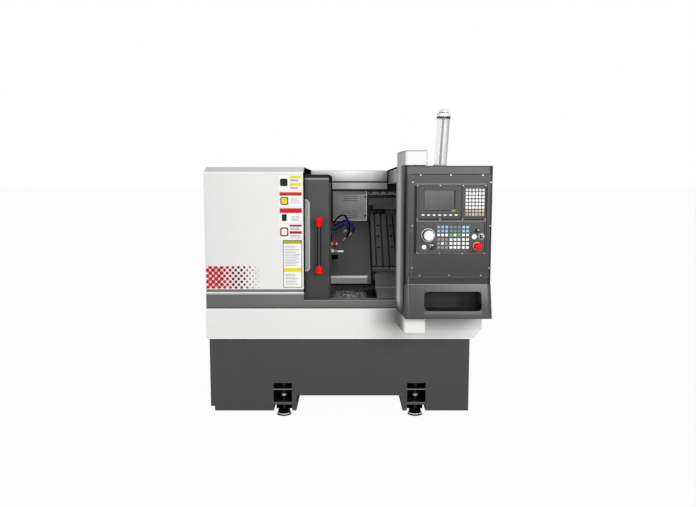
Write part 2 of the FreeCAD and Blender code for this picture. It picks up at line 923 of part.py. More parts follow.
def belt_outline(big, small):
    """The line round both pulleys: two arcs joined by the outer tangents."""
    dy, dz = motor_y - spindle_y, motor_z - spindle_z
    span, lean = math.hypot(dy, dz), math.atan2(dz, dy)
    spread = math.acos((big - small) / span)

    def at(centre, radius, angle):
        return Vector(pulley_left + 6, centre[0] + radius * math.cos(angle),
                      centre[1] + radius * math.sin(angle))
    one, two = (spindle_y, spindle_z), (motor_y, motor_z)
    first, last = lean + spread, lean - spread
    edges = [Part.Arc(at(one, big, first), at(one, big, lean + math.pi), at(one, big, last)).toShape(),
             Part.LineSegment(at(one, big, last), at(two, small, last)).toShape(),
             Part.Arc(at(two, small, last), at(two, small, lean), at(two, small, first)).toShape(),
             Part.LineSegment(at(two, small, first), at(one, big, first)).toShape()]
    return Part.Face(Part.Wire(edges))


def drive_belt():
    inner = belt_outline(spindle_pulley_radius + play, motor_pulley_radius + play)
    outer = belt_outline(spindle_pulley_radius + belt_thickness, motor_pulley_radius + belt_thickness)
    return outer.cut(inner).extrude(Vector(pulley_width - 12, 0, 0))


def spindle_motor():
    front = pulley_left + pulley_width + 55
    body = turned([(0, motor_radius - 14), (12, motor_radius), (motor_length - 70, motor_radius),
                   (motor_length - 70, motor_radius - 6), (motor_length - 6, motor_radius - 6),
                   (motor_length, motor_radius - 12), (motor_length, 0)],
                  (front, motor_y, motor_z), (1, 0, 0))
    fins = [block(front + 30, front + motor_length - 90, motor_y - 4 + k * 34, motor_y + 4 + k * 34,
                  motor_z, motor_z + motor_radius + 5) for k in (-1, 0, 1)]
    centre_n = (motor_z - bed_front_top) * slope_cos - (motor_y - bed_front) * slope_sin
    middle_s = (motor_y - bed_front) * slope_cos + (motor_z - bed_front_top) * slope_sin
    foot = on_slope(block(front + 30, front + motor_length - 90, middle_s - 80, middle_s + 80,
                          0, centre_n - 30))
    return join([body, foot] + fins)


# ---- carriage and cross slide -------------------------------------------------------------------

def saddle():
    body = block(carriage_left, carriage_right, saddle_low, saddle_high, saddle_bottom, saddle_top)
    table_middle = table_left + table_width / 2
    channel = block(table_middle - nut_housing / 2 - 8, table_middle + nut_housing / 2 + 8,
                    saddle_low + 40, saddle_high - 40, saddle_bottom + 22, saddle_top + 1)
    way_cuts = [block(x0, x1, saddle_low - 1, saddle_high + 1, saddle_top - way_groove, saddle_top + 1)
                for x0, x1 in ((carriage_left - 1, carriage_left + 24),
                               (carriage_right - 24, carriage_right + 1))]
    bore = rod((table_middle, cross_screw_start - play, cross_screw_n), (0, 1, 0),
               cross_screw_radius - 3 + running, saddle_high - cross_screw_start + 1)
    body = body.cut([channel, bore] + way_cuts)
    shapes = [body]
    for s in rail_s:
        for x0 in (carriage_left + 10, carriage_right - 10 - block_length):
            shoe = block(x0, x0 + block_length, s - block_width / 2, s + block_width / 2,
                         6, saddle_bottom)
            gap = play
            half_rail = rail_width / 2
            slot = [(s - half_rail - gap, 5), (s + half_rail + gap, 5), (s + half_rail + gap, 9),
                    (s + half_rail - 5 + gap, 14), (s + half_rail - 5 + gap, 20),
                    (s + half_rail + gap, rail_height), (s + half_rail + gap, rail_height + gap),
                    (s - half_rail - gap, rail_height + gap), (s - half_rail - gap, rail_height),
                    (s - half_rail + 5 - gap, 20), (s - half_rail + 5 - gap, 14),
                    (s - half_rail - gap, 9)]
            shapes.append(shoe.cut(along_x(slot, x0 - 1, x0 + block_length + 1)))
    nut_left = carriage_left + nut_offset
    nut = block(nut_left, nut_left + nut_length, trough_s - 32, trough_s + 32,
                long_screw_n - 24, saddle_bottom)
    nut_bore = rod((nut_left - 1, trough_s, long_screw_n), (1, 0, 0),
                   long_screw_radius + running, nut_length + 2)
    shapes.append(nut.cut(nut_bore))
    return on_slope(join(shapes))


def cross_slide():
    bottom = saddle_top + play
    body = block(table_left, table_right, table_low, table_low + table_length, bottom, table_top)
    ends = (table_low - 1, table_low + table_length + 1)
    cuts = []
    for k in range(slot_count):
        x = table_left + slot_first + k * slot_pitch
        neck, tee = slot_width / 2, slot_tee_width / 2
        floor = table_top - slot_neck
        outline = [(x - neck, table_top + 1), (x - neck, floor), (x - tee, floor),
                   (x - tee, floor - slot_tee_height), (x + tee, floor - slot_tee_height),
                   (x + tee, floor), (x + neck, floor), (x + neck, table_top + 1)]
        wire = [Vector(a, ends[0], b) for a, b in outline]
        cuts.append(face_of(wire).extrude(Vector(0, ends[1] - ends[0], 0)))
    for x, s in bolt_places():
        cuts.append(rod((x, s, table_top - bolt_recess_depth), (0, 0, 1), bolt_recess, 30))
    body = body.cut(cuts)
    x = table_left + table_width / 2
    start = table_low + housing_start
    housing = block(x - nut_housing / 2, x + nut_housing / 2, start, start + housing_length,
                    cross_screw_n - nut_housing / 2, bottom + 1)
    bore = rod((x, start - 1, cross_screw_n), (0, 1, 0), cross_screw_radius + running,
               housing_length + 2)
    return on_slope(join([body, housing.cut(bore)]))


def bolt_places():
    places = []
    for column in range(slot_count // 2):
        x = table_left + slot_first + slot_pitch * (2 * column + 0.5)
        for row in range(bolt_rows):
            places.append((x, table_low + bolt_row_first + row * bolt_row_pitch))
    return places


def table_bolts():
    seat = table_top - bolt_recess_depth
    bolts = []
    for x, s in bolt_places():
        bolts.append(on_slope(prism((x, s), bolt_across, seat, table_top - 3)))
    return bolts


def x_ballscrew():
    x = table_left + table_width / 2
    start, length = cross_screw_start, saddle_high - play - cross_screw_start
    journal, thread = cross_screw_radius - 3, cross_screw_radius
    profile = [(0, journal), (36, journal), (36, thread), (length - 48, thread),
               (length - 48, journal), (length, journal), (length, 0)]
    return on_slope(turned(profile, (x, start, cross_screw_n), (0, 1, 0)))


def x_drive():
    """Bearing bracket and motor cover at the upper end of the saddle."""
    low_back = slope_yz(drive_bottom_s, saddle_bottom)
    low_front = slope_yz(drive_bottom_s, saddle_top - 15)
    wall = drive_back - drive_wall
    bend = slope_yz(slope_s(wall, saddle_top - 15), saddle_top - 15)
    outline = [low_back, low_front, bend, (wall, drive_floor), (drive_back, drive_floor),
               (drive_back, low_back[1])]
    foot = along_x(outline, carriage_left, carriage_right)
    cover = block(carriage_left - drive_overhang, carriage_right + drive_overhang, drive_front,
                  drive_back, drive_floor, drive_top)
    edges = [e for e in cover.Edges if abs(e.CenterOfMass.z - drive_top) < 0.01
             and abs(e.CenterOfMass.y - drive_front) < 0.01]
    return join([foot, cover.makeFillet(10, edges)])


def cover_sheet(level, x0, x1, low_y):
    """One slanted cover sheet with its down-turned lower lip."""
    low = (low_y, slope_yz(slope_s(low_y, level), level)[1])
    high_y = body_back - 12
    high = (high_y, slope_yz(slope_s(high_y, level), level)[1])
    thick = sheet / slope_cos
    outline = [(low[0], low[1] - cover_lip), low, high, (high[0], high[1] + thick),
               (low[0] - sheet, low[1] + thick - sheet * slope_sin / slope_cos),
               (low[0] - sheet, low[1] - cover_lip)]
    return along_x(outline, x0, x1)


def way_covers():
    left = cover_sheet(cover_level, bulkhead_x, bulkhead_x + fixed_left_length, cover_low_y)
    right_end = half - sheet - play
    right = cover_sheet(cover_level, right_end - fixed_right_length, right_end, cover_low_y)
    return [left, right]


def carriage_covers():
    """Sliding sheets on both sides of the saddle, and the apron sheet below the cross slide."""
    level = cover_level - sheet - cover_gap
    low_y = cover_low_y + sheet + cover_gap
    left = cover_sheet(level, carriage_left - moving_left_length, carriage_left, low_y)
    right = cover_sheet(level, carriage_right, carriage_right + moving_right_length, low_y)
    top = slope_yz(saddle_low, saddle_top - 5)
    seat = slope_yz(saddle_low, saddle_top - 45)
    toe_z = tray_rim + toe_gap
    outline = [top, seat, (knee_y, knee_z - sheet), (toe_y, toe_z), (toe_y, toe_z + sheet),
               (knee_y, knee_z)]
    front = along_x(outline, carriage_left + front_inset, carriage_right)
    return [left, right, front]


# ---- coolant ------------------------------------------------------------------------------------

def bent_path(points, radii):
    """Straight runs in one upright plane, joined by tangent arcs at the inner points."""
    edges = []
    start = points[0]
    for k in range(1, len(points) - 1):
        corner = points[k]
        back = (points[k - 1] - corner).normalize()
        ahead = (points[k + 1] - corner).normalize()
        half_angle = back.getAngle(ahead) / 2
        cut = radii[k - 1] / math.tan(half_angle)
        entry, leave = corner + back * cut, corner + ahead * cut
        middle_line = (back + ahead).normalize()
        inset = radii[k - 1] / math.sin(half_angle) - radii[k - 1]
        edges.append(Part.LineSegment(start, entry).toShape())
        edges.append(Part.Arc(entry, corner + middle_line * inset, leave).toShape())
        start = leave
    edges.append(Part.LineSegment(start, points[-1]).toShape())
    return Part.Wire(edges)


def ring_at(centre, direction, radius):
    direction = Vector(direction).normalize()
    side = Vector(0, 1, 0)
    turn = Rotation(side, direction.cross(side), direction, "ZXY")
    ring = Part.makeCircle(radius)
    ring.Placement = Placement(centre, turn)
    return Part.Wire([ring])


def heading(path, at_start):
    """Direction of a route at one of its ends."""
    points = path.discretize(Number=400)
    near, far = (points[0], points[1]) if at_start else (points[-2], points[-1])
    return (far - near).normalize()


def beaded_hose(path, beads):
    """A segmented hose: each bead is lofted through its two necks and its barrel."""
    ends = path.discretize(Number=beads + 1)
    runs = [(far - near).normalize() for near, far in zip(ends, ends[1:])]
    leans = [heading(path, True)] + [a + b for a, b in zip(runs, runs[1:])] + [heading(path, False)]
    necks = [ring_at(point, lean, hose_neck) for point, lean in zip(ends, leans)]
    bores = [ring_at(point, lean, hose_bore) for point, lean in zip(ends, leans)]
    rings = necks[:1]
    for k in range(beads):
        for share in (barrel_share, 1 - barrel_share):
            middle = ends[k] + (ends[k + 1] - ends[k]) * share
            rings.append(ring_at(middle, runs[k], hose_radius))
        rings.append(necks[k + 1])
    return Part.makeLoft(rings, True, True).cut(Part.makeLoft(bores, True, True))


manifold_x = bulkhead_x + manifold_gap


def route(points, y):
    return [Vector(manifold_x + x, y, z) for x, z in points]


def upper_path():
    return bent_path(route(upper_route, upper_hose_y), upper_bends)


def lower_path():
    return bent_path(route(lower_route, lower_hose_y), lower_bends)


def line_path():
    return bent_path(route(line_route, line_y), line_bends)


def coolant_hoses():
    return [beaded_hose(upper_path(), upper_bead_count), beaded_hose(lower_path(), lower_bead_count)]


def coolant_line():
    path = line_path()
    start = ring_at(path.Vertexes[0].Point, heading(path, True), line_radius)
    return path.makePipeShell([start], True, False)


def nozzle(path, radius):
    ahead = heading(path, False)
    start = path.Vertexes[-1].Point + ahead * play
    profile = [(0, radius + 1), (nozzle_sleeve, radius + 1), (nozzle_length, nozzle_tip_radius),
               (nozzle_length, 0)]
    return turned(profile, tuple(start), tuple(ahead))


def coolant_fittings():
    """Brass manifold on the bulkhead with its unions, the nozzles, and the valve body."""
    front = bulkhead_x + manifold_depth
    body = block(bulkhead_x, front, lower_hose_y - manifold_side, line_y + manifold_side,
                 manifold_z - manifold_below, manifold_z + manifold_above)
    body = body.makeFillet(2, [e for e in body.Edges if abs(e.CenterOfMass.x - front) < 0.01])
    unions = []
    for points, y, radius in ((upper_route, upper_hose_y, hose_neck),
                              (lower_route, lower_hose_y, hose_neck),
                              (line_route, line_y, line_radius)):
        first, second = route(points, y)[:2]
        ahead = (second - first).normalize()
        start = first - ahead * (union_length + play)
        unions.append(rod(tuple(start), tuple(ahead), radius + 2, union_length))
    behind = block(bulkhead_x - union_length, bulkhead_x, lower_hose_y - 2 * manifold_side,
                   line_y + 2 * manifold_side, manifold_z - 2 * manifold_below,
                   manifold_z + 2 * manifold_above)
    return [join([body] + unions).cut(behind), nozzle(upper_path(), hose_neck),
            nozzle(lower_path(), hose_neck), nozzle(line_path(), line_radius), valve_body()]


def valve_body():
    length = valve_body_length - play
    body = rod((bulkhead_x, valve_y, valve_z), (1, 0, 0), valve_body_radius, length)
    reach = valve_body_length + knob_length + 12
    stem = rod((bulkhead_x, valve_y, valve_z), (1, 0, 0), 4, reach)
    cap = turned([(0, 12), (9, 12), (11, 10), (11, 0)],
                 (bulkhead_x + valve_body_length + knob_length + play, valve_y, valve_z), (1, 0, 0))
    return join([body, stem, cap])


def valve_knob():
    start = bulkhead_x + valve_body_length
    knob = rod((start, valve_y, valve_z), (1, 0, 0), knob_radius, knob_length)
    cuts = [rod((start - 1, valve_y, valve_z), (1, 0, 0), 4 + running, knob_length + 2)]
    for k in range(knob_lobes):
        turn = 2 * math.pi * k / knob_lobes
        reach = knob_radius + 4
        cuts.append(rod((start - 1, valve_y + reach * math.cos(turn), valve_z + reach * math.sin(turn)),
                        (1, 0, 0), 7, knob_length + 2))
    return knob.cut(cuts)


# ---- control column and box ---------------------------------------------------------------------

arm_low_top = column_bottom + arm_height_low
arm_top_bottom = column_top - arm_height_top


def column_slab(reach, z0, z1):
    """A slab of the column: its left side draws in towards the front, with rounded corners."""
    corner_x = column_left + column_taper * reach / arm_reach
    body = along_z([(column_left, -play), (column_right, -play), (column_right, -reach),
                    (corner_x, -reach)], z0, z1)
    front = [e for e in body.Edges if abs(e.CenterOfMass.y + reach) < 0.01
             and abs(e.tangentAt(e.FirstParameter).z) > 0.99]
    return body.makeFillet(column_round, front)


def control_column():
    post = column_slab(column_reach, column_bottom, column_top)
    arms = [column_slab(arm_reach, column_bottom, arm_low_top),
            column_slab(arm_reach, arm_top_bottom, column_top)]
    body = join([post] + arms)
    top_edges = [e for e in body.Edges if abs(e.CenterOfMass.z - column_top) < 0.01
                 and e.CenterOfMass.y < -play - 1]
    body = body.makeFillet(8, top_edges)
    notch = block(column_left - 1, column_right + 1, -apron_proud - play, 1,
                  column_bottom - 1, apron_top + play)
    pins = [rod((pivot_x, -pivot_reach, z), (0, 0, 1), pivot_radius, pivot_depth + 1)
            for z in (arm_low_top - 1, arm_top_bottom - pivot_depth)]
    return join([body.cut(notch)] + pins)


def stands_at(edge, x, y):
    middle = edge.CenterOfMass
    return abs(middle.x - x) < 0.01 and abs(middle.y - y) < 0.01


def control_box():
    plan = [(box_left, -box_face), (box_left, -box_slim_back), (box_deep_left, -box_slim_back),
            (box_deep_left, -box_back), (box_right, -box_back), (box_right, -box_face)]
    body = along_z(plan, box_bottom, box_top)
    body = body.makeFillet(box_front_round, [e for e in body.Edges if stands_at(e, box_left, -box_face)])
    corners = [e for e in body.Edges if stands_at(e, box_left, -box_slim_back)
               or stands_at(e, box_deep_left, -box_back) or stands_at(e, box_right, -box_back)
               or stands_at(e, box_right, -box_face)]
    body = body.makeFillet(box_round, corners)
    lip = along_x([(-box_face, pocket_seam), (-box_face - pocket_slope, box_bottom),
                   (-box_face, box_bottom)], box_left, box_right)
    body = join([body, lip])
    pocket = rounded_plate(pocket_left, pocket_right, pocket_low, pocket_high, pocket_radius,
                           -box_face - pocket_slope - 1, -box_face - pocket_slope + pocket_depth + 30)
    bores = [rod((pivot_x, -pivot_reach, z), (0, 0, 1), pivot_radius + running, pivot_depth + 1)
             for z in (box_bottom - 1, box_top - pivot_depth)]
    seam = block(box_left - 1, box_right + 1, -box_face - 1, -box_face + 1.5,
                 pocket_seam + 2, pocket_seam + 4)
    inside = block(box_deep_left + box_wall, box_right - box_wall, -box_face - 1,
                   -box_back - box_wall, plate_bottom + box_wall, plate_top - box_wall)
    return body.cut([pocket, seam, inside] + bores)


def panel_plate():
    front = face_plane
    plate = rounded_plate(plate_left, plate_right, plate_bottom, plate_top, 6, front, -box_face)
    hole_side = 6
    openings = [block(unit_left + hole_side, unit_left + unit_width - hole_side, front - 1,
                      -box_face + 1, unit_bottom + hole_side, unit_top - hole_side),
                block(unit_left + hole_side, unit_left + unit_width - hole_side, front - 1,
                      -box_face + 1, panel_bottom + hole_side, unit_bottom - panel_split - hole_side)]
    return plate.cut(openings)


screw_columns = (438.0, 609.0, 791.0)
screw_rows = (1006.0, 1249.0, 1496.0)
unit_screw_inset = 6.0
unit_screw_columns = 4
screw_rise = 2.2


def panel_screws():
    """Screw heads of the panel plate, the screen unit and the operator panel."""
    plate_places = [(x, z) for x in screw_columns for z in (plate_bottom + 15, plate_top - 6)]
    plate_places += [(x, z) for x in (plate_left + 20, plate_right - 9) for z in screw_rows]
    span = (unit_width - 2 * unit_screw_inset) / (unit_screw_columns - 1)
    columns = [unit_left + unit_screw_inset + k * span for k in range(unit_screw_columns)]
    unit_places = [(x, z) for x in columns
                   for z in (unit_top - unit_screw_inset, unit_bottom + 5, panel_bottom + 5)]
    heads = []
    for places, plane, radius in ((plate_places, face_plane, 4.5),
                                  (unit_places, face_plane - unit_proud, 3.5)):
        head = prism((0, 0), 2 * radius, 0, screw_rise)
        for x, z in places:
            placed = head.copy()
            placed.Placement = Placement(Vector(x, plane, z), Rotation(Vector(1, 0, 0), 90))
            heads.append(placed)
    return heads


def framed_panel(z0, z1):
    """A flat unit with a groove inside its rim, wide at the left and the foot."""
    front = face_plane - unit_proud
    right = unit_left + unit_width
    body = rounded_plate(unit_left, right, z0, z1, 3, front, face_plane)
    rim = 8.0
    outer = block(unit_left + rim, right - rim, front - 1, front + groove_deep, z0 + rim, z1 - rim)
    inner = block(unit_left + rim + groove_wide, right - rim - groove_thin, front - 2,
                  front + groove_deep + 1, z0 + rim + groove_wide, z1 - rim - groove_thin)
    return body.cut(outer.cut(inner))


def cnc_unit():
    front = face_plane - unit_proud
    body = framed_panel(unit_bottom, unit_top)
    glass = rounded_plate(screen_left, screen_right, screen_bottom, screen_top, 4, front - 1,
                          front + screen_glass + 1)
    divider = block(divider_x, divider_x + divider_width, front - 1, front + 2,
                    unit_bottom + 16, unit_top - 10)
    body = body.cut([glass, divider])
    keys = []
    for column in range(letter_cols):
        for row in range(letter_rows):
            keys.append(key_cap(letter_x + column * letter_pitch, letter_z + row * letter_row_pitch,
                                letter_size, letter_size))
    for k in range(soft_keys):
        keys.append(key_cap(soft_x + k * soft_pitch, soft_z, soft_width, soft_height))
    return join([body] + keys)


def key_cap(x, z, width, height):
    """A key with sloping flanks, from its foot on the panel to its crown."""
    foot = face_plane - unit_proud + 0.5
    crown = face_plane - unit_proud - key_rise

    def ring(y, w, h):
        corners = [(-w, -h), (w, -h), (w, h), (-w, h)]
        return Part.makePolygon([Vector(x + a / 2, y, z + b / 2) for a, b in corners + corners[:1]])
    return Part.makeLoft([ring(foot, width, height), ring(crown, width - 3, height - 2.5)], True, True)


def cnc_screen():
    front = face_plane - unit_proud + 1
    return rounded_plate(screen_left + play, screen_right - play, screen_bottom + play,
                         screen_top - play, 4, front, front + screen_glass)


def operator_panel():
    top = unit_bottom - panel_split
    front = face_plane - unit_proud
    body = framed_panel(panel_bottom, top)
    keys = []
    for column in range(op_cols):
        for row in range(op_rows):
            x = op_x + column * op_pitch + (column // 3) * op_group_gap
            z = op_z + row * op_pitch + (row // 3) * op_group_gap
            keys.append(key_cap(x, z, op_size, op_size - 2))
    rings = [rod((x, front + 1, z), (0, -1, 0), radius + 3, 4)
             for x, z, radius in ((start_x, start_z, start_radius), (stop_x, stop_z, stop_radius))]
    dial = turned([(0, dial_radius), (dial_rim - 2, dial_radius - 1), (dial_rim, dial_radius - 5),
                   (dial_rim, 0)], (dial_x, front + 1, dial_z), (0, -1, 0))
    body = join([body, dial, estop_collar()] + rings + keys)
    holes = [rod((x, front + unit_proud + 1, z), (0, -1, 0), radius + play, 40)
             for x, z, radius in ((start_x, start_z, start_radius), (stop_x, stop_z, stop_radius))]
    for x, z in ((dial_x, dial_z), (mode_x, mode_z), (feed_x, feed_z), (key_x, key_z),
                 (estop_x, estop_z)):
        holes.append(rod((x, front + unit_proud + 1, z), (0, -1, 0), 5 + running, 40))
    return body.cut(holes)


def push_button(x, z, radius):
    front = face_plane - unit_proud
    profile = [(0, radius), (unit_proud + button_rise - 2, radius),
               (unit_proud + button_rise, radius - 2), (unit_proud + button_rise, 0)]
    return turned(profile, (x, front + unit_proud, z), (0, -1, 0))


def start_button():
    return push_button(start_x, start_z, start_radius)


def stop_button():
    return push_button(stop_x, stop_z, stop_radius)


def knob_stem(x, z):
    front = face_plane - unit_proud
    return rod((x, front + unit_proud - 0.5, z), (0, -1, 0), 5, unit_proud + 2)


def handwheel():
    seat = face_plane - unit_proud + 1 - dial_rim - play
    profile = [(0, wheel_radius), (wheel_rise - 5, wheel_radius), (wheel_rise, wheel_radius - 6),
               (wheel_rise, 0)]
    wheel = turned(profile, (dial_x, seat, dial_z), (0, -1, 0))
    cuts = []
    for k in range(wheel_grooves):
        turn = 2 * math.pi * k / wheel_grooves
        x = dial_x + (wheel_radius + 1) * math.cos(turn)
        z = dial_z + (wheel_radius + 1) * math.sin(turn)
        cuts.append(rod((x, seat + 1, z), (0, -1, 0), 3, wheel_rise - 6))
    stem = rod((dial_x, face_plane - 0.5, dial_z), (0, -1, 0), 5, unit_proud + dial_rim + 2)
    grip = rod((dial_x - wheel_radius * 0.55, seat - wheel_rise, dial_z + 6), (0, -1, 0), wheel_grip, 10)
    return join([wheel.cut(cuts), stem, grip])


def switch_knob(x, z, radius):
    """A round skirt with a raised pointer bar across it."""
    seat = face_plane - unit_proud - play
    skirt = turned([(0, radius), (6, radius * 0.8), (6, 0)], (x, seat, z), (0, -1, 0))
    bar = block(x - radius * 0.28, x + radius * 0.28, seat - knob_rise, seat - 5,
                z - radius * 0.75, z + radius * 0.75)
    return join([skirt, bar, knob_stem(x, z)])


def mode_switch():
    return switch_knob(mode_x, mode_z, mode_radius)


def feed_switch():
    return switch_knob(feed_x, feed_z, feed_radius)


def key_switch():
    seat = face_plane - unit_proud - play
    barrel = turned([(0, key_radius), (5, key_radius), (7, key_radius - 2), (7, 0)],
                    (key_x, seat, key_z), (0, -1, 0))
    bow = rounded_plate(key_x - 2, key_x + 2, key_z - 9, key_z + 9, 1.5, seat - 24, seat - 6)
    return join([barrel, bow, knob_stem(key_x, key_z)])


def estop_collar():
    front = face_plane - unit_proud
    ring = turned([(0, estop_collar_radius), (estop_collar_rise - 2, estop_collar_radius),
                   (estop_collar_rise, estop_collar_radius - 3), (estop_collar_rise, 0)],
                  (estop_x, front, estop_z), (0, -1, 0))
    bore = rod((estop_x, front + 1, estop_z), (0, -1, 0), 14 + play, 30)
    return ring.cut(bore)


def estop_cap():
    front = face_plane - unit_proud
    gap = estop_collar_rise + estop_travel + 1
    profile = [(estop_travel + 2, 14), (gap, 14), (gap, estop_cap_radius),
               (estop_reach - 12, estop_cap_radius), (estop_reach - 3, estop_cap_radius - 5),
               (estop_reach, estop_cap_radius - 12), (estop_reach, 0)]
    cap = turned(profile, (estop_x, front, estop_z), (0, -1, 0))
    stem = rod((estop_x, front + unit_proud - estop_travel - 1, estop_z), (0, -1, 0), 5,
               estop_travel + 8)
    return join([cap, stem])


# ---- signal tower ------------------------------------------------------------------------------

def leaned(shape):
    placed = shape.copy()
    placed.rotate(Vector(tower_x, tower_y, roof_z), Vector(0, 1, 0), tower_lean)
    return placed


def signal_base():
    """The foot is cut level on the roof; the pole leans with the tube."""
    foot = turned([(-tower_foot, tower_radius + 4), (tower_foot - 4, tower_radius + 2),
                   (tower_foot, tower_radius - 1), (tower_foot, 0)], (tower_x, tower_y, roof_z), (0, 0, 1))
    pole = rod((tower_x, tower_y, roof_z), (0, 0, 1), tower_pole, tower_foot + tower_height)
    reach = 2 * tower_radius
    below = block(tower_x - reach, tower_x + reach, tower_y - reach, tower_y + reach,
                  roof_z - 2 * tower_foot, roof_z)
    return leaned(join([foot, pole])).cut(below)


def signal_lens():
    start = roof_z + tower_foot
    tube = rod((tower_x, tower_y, start), (0, 0, 1), tower_radius, tower_height)
    inside = rod((tower_x, tower_y, start - 1), (0, 0, 1), tower_radius - tower_wall, tower_height + 2)
    return leaned(tube.cut(inside))


def signal_cap():
    start = roof_z + tower_foot + tower_height
    side, top = tower_cap_side, tower_cap_height
    profile = [(0, tower_rim), (side, tower_rim), (side + 8, tower_rim - 8),
               (side + 10, tower_rim - 14), (top - 17, tower_rim - 15), (top - 9, tower_rim - 20),
               (top - 3, tower_rim - 29), (top, tower_rim - 38), (top, 0)]
    return leaned(turned(profile, (tower_x, tower_y, start), (0, 0, 1)))


# ---- back of the machine --------------------------------------------------------------------------

hinge_x = cabinet_left - hinge_offset
hinge_y = cabinet_back + cabinet_door / 2
hinge_levels = (cabinet_bottom + 160, cabinet_top - 160)


def electrical_cabinet():
    wall = cabinet_wall
    shell = block(cabinet_left, cabinet_right, back_outside, cabinet_back, cabinet_bottom, cabinet_top)
    inside = block(cabinet_left + wall, cabinet_right - wall, back_outside + wall, cabinet_back + 1,
                   cabinet_bottom + wall, cabinet_top - wall)
    shapes = [shell.cut(inside)]
    for z in hinge_levels:
        third = hinge_length / 3
        for low in (z - hinge_length / 2, z + third / 2):
            shapes.append(rod((hinge_x, hinge_y, low), (0, 0, 1), hinge_radius, third))
            shapes.append(block(hinge_x, cabinet_left, cabinet_back - 12, cabinet_back,
                                low, low + third))
            shapes.append(block(hinge_x, cabinet_left - play, cabinet_back, hinge_y,
                                low, low + third))
        shapes.append(rod((hinge_x, hinge_y, z - hinge_length / 2), (0, 0, 1), hinge_pin, hinge_length))
    return join(shapes)


def cabinet_door_leaf():
    back = cabinet_back + cabinet_door
    pan = block(cabinet_left, cabinet_right, cabinet_back + play, back, cabinet_bottom, cabinet_top)
    hollow = block(cabinet_left + sheet, cabinet_right - sheet, cabinet_back, back - sheet,
                   cabinet_bottom + sheet, cabinet_top - sheet)
    slots = []
    for side in (cabinet_bottom + vent_low, cabinet_top - vent_high):
        for k in range(vent_count):
            z = side + k * vent_pitch
            slots.append(block(vent_left, vent_right, back - sheet - 1, back + 1,
                               z, z + vent_height))
    hole = rod((latch_x, back - sheet - 1, (cabinet_bottom + cabinet_top) / 2), (0, 1, 0),
               9 + running, sheet + 2)
    shapes = [pan.cut([hollow, hole] + slots)]
    third = hinge_length / 3
    for z in hinge_levels:
        sleeve = rod((hinge_x, hinge_y, z - third / 2 + play), (0, 0, 1), hinge_radius, third - 2 * play)
        arm = block(hinge_x, cabinet_left + sheet, hinge_y, hinge_y + 4, z - third / 2 + play,
                    z + third / 2 - play)
        both = join([sleeve, arm])
        shapes.append(both.cut(rod((hinge_x, hinge_y, z - third), (0, 0, 1), hinge_pin + running,
                                   third * 2)))
    return join(shapes)


def cabinet_latch():
    back = cabinet_back + cabinet_door
    z = (cabinet_bottom + cabinet_top) / 2
    stem = rod((latch_x, back - sheet - 8, z), (0, 1, 0), 9, sheet + 8 + play + 8)
    plate = rod((latch_x, back + play, z), (0, 1, 0), 17, 10)
    lever = rounded_plate(latch_x - 11, latch_x + 11, z - 105, z + 15, 10, back + latch_rise - 16,
                          back + latch_rise)
    neck = rod((latch_x, back + play, z), (0, 1, 0), 11, latch_rise - 8)
    return join([stem, plate, neck, lever])


# ---- all pieces -------------------------------------------------------------------------------------

pieces = {
    "base_cabinet": base_cabinet, "levelling_pads": levelling_pads,
    "levelling_bolts": levelling_bolts, "apron": apron, "sill_band": sill_band,
    "left_cover": left_cover, "right_cover": right_cover, "rear_rail": rear_rail,
    "back_panel": back_panel, "bulkhead": bulkhead, "louvre_plate": louvre_plate,
    "chip_tray": chip_tray, "slant_bed": slant_bed, "z_guide_rails": z_guide_rails,
    "headstock": headstock, "spindle_motor": spindle_motor,
    "drive_belt": drive_belt, "way_covers": way_covers, "coolant_fittings": coolant_fittings,
    "coolant_hoses": coolant_hoses, "coolant_line": coolant_line,
    "control_column": control_column, "signal_base": signal_base, "signal_lens": signal_lens,
    "signal_cap": signal_cap, "electrical_cabinet": electrical_cabinet,
    "door_panel": door_panel, "door_window": door_window, "window_bead": window_bead,
    "door_roof": door_roof, "handle_rod": handle_rod, "handle_ends": handle_ends,
    "spindle": spindle, "chuck_ring": chuck_ring, "bar_stock": bar_stock,
    "spindle_pulley": spindle_pulley, "motor_pulley": motor_pulley,
    "saddle": saddle, "x_drive": x_drive, "carriage_covers": carriage_covers,
    "cross_slide": cross_slide, "table_bolts": table_bolts, "z_ballscrew": z_ballscrew,
    "x_ballscrew": x_ballscrew, "valve_knob": valve_knob,
    "control_box": control_box, "panel_plate": panel_plate, "panel_screws": panel_screws,
    "cnc_unit": cnc_unit, "cnc_screen": cnc_screen, "operator_panel": operator_panel,
    "estop_cap": estop_cap, "handwheel": handwheel,
    "mode_switch": mode_switch, "feed_switch": feed_switch, "key_switch": key_switch,
    "start_button": start_button, "stop_button": stop_button,
    "cabinet_door": cabinet_door_leaf, "cabinet_latch": cabinet_latch,
}

os.makedirs("parts", exist_ok=True)
for piece_name, make in pieces.items():
    made = make()
    save(piece_name, group(made) if isinstance(made, list) else made)
print("%d pieces, middle of the footprint at y = %.1f" % (len(pieces), middle_y))
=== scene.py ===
import random
from math import cos, pi, radians, sin

import bmesh
import bpy
from mathutils import Matrix, Vector


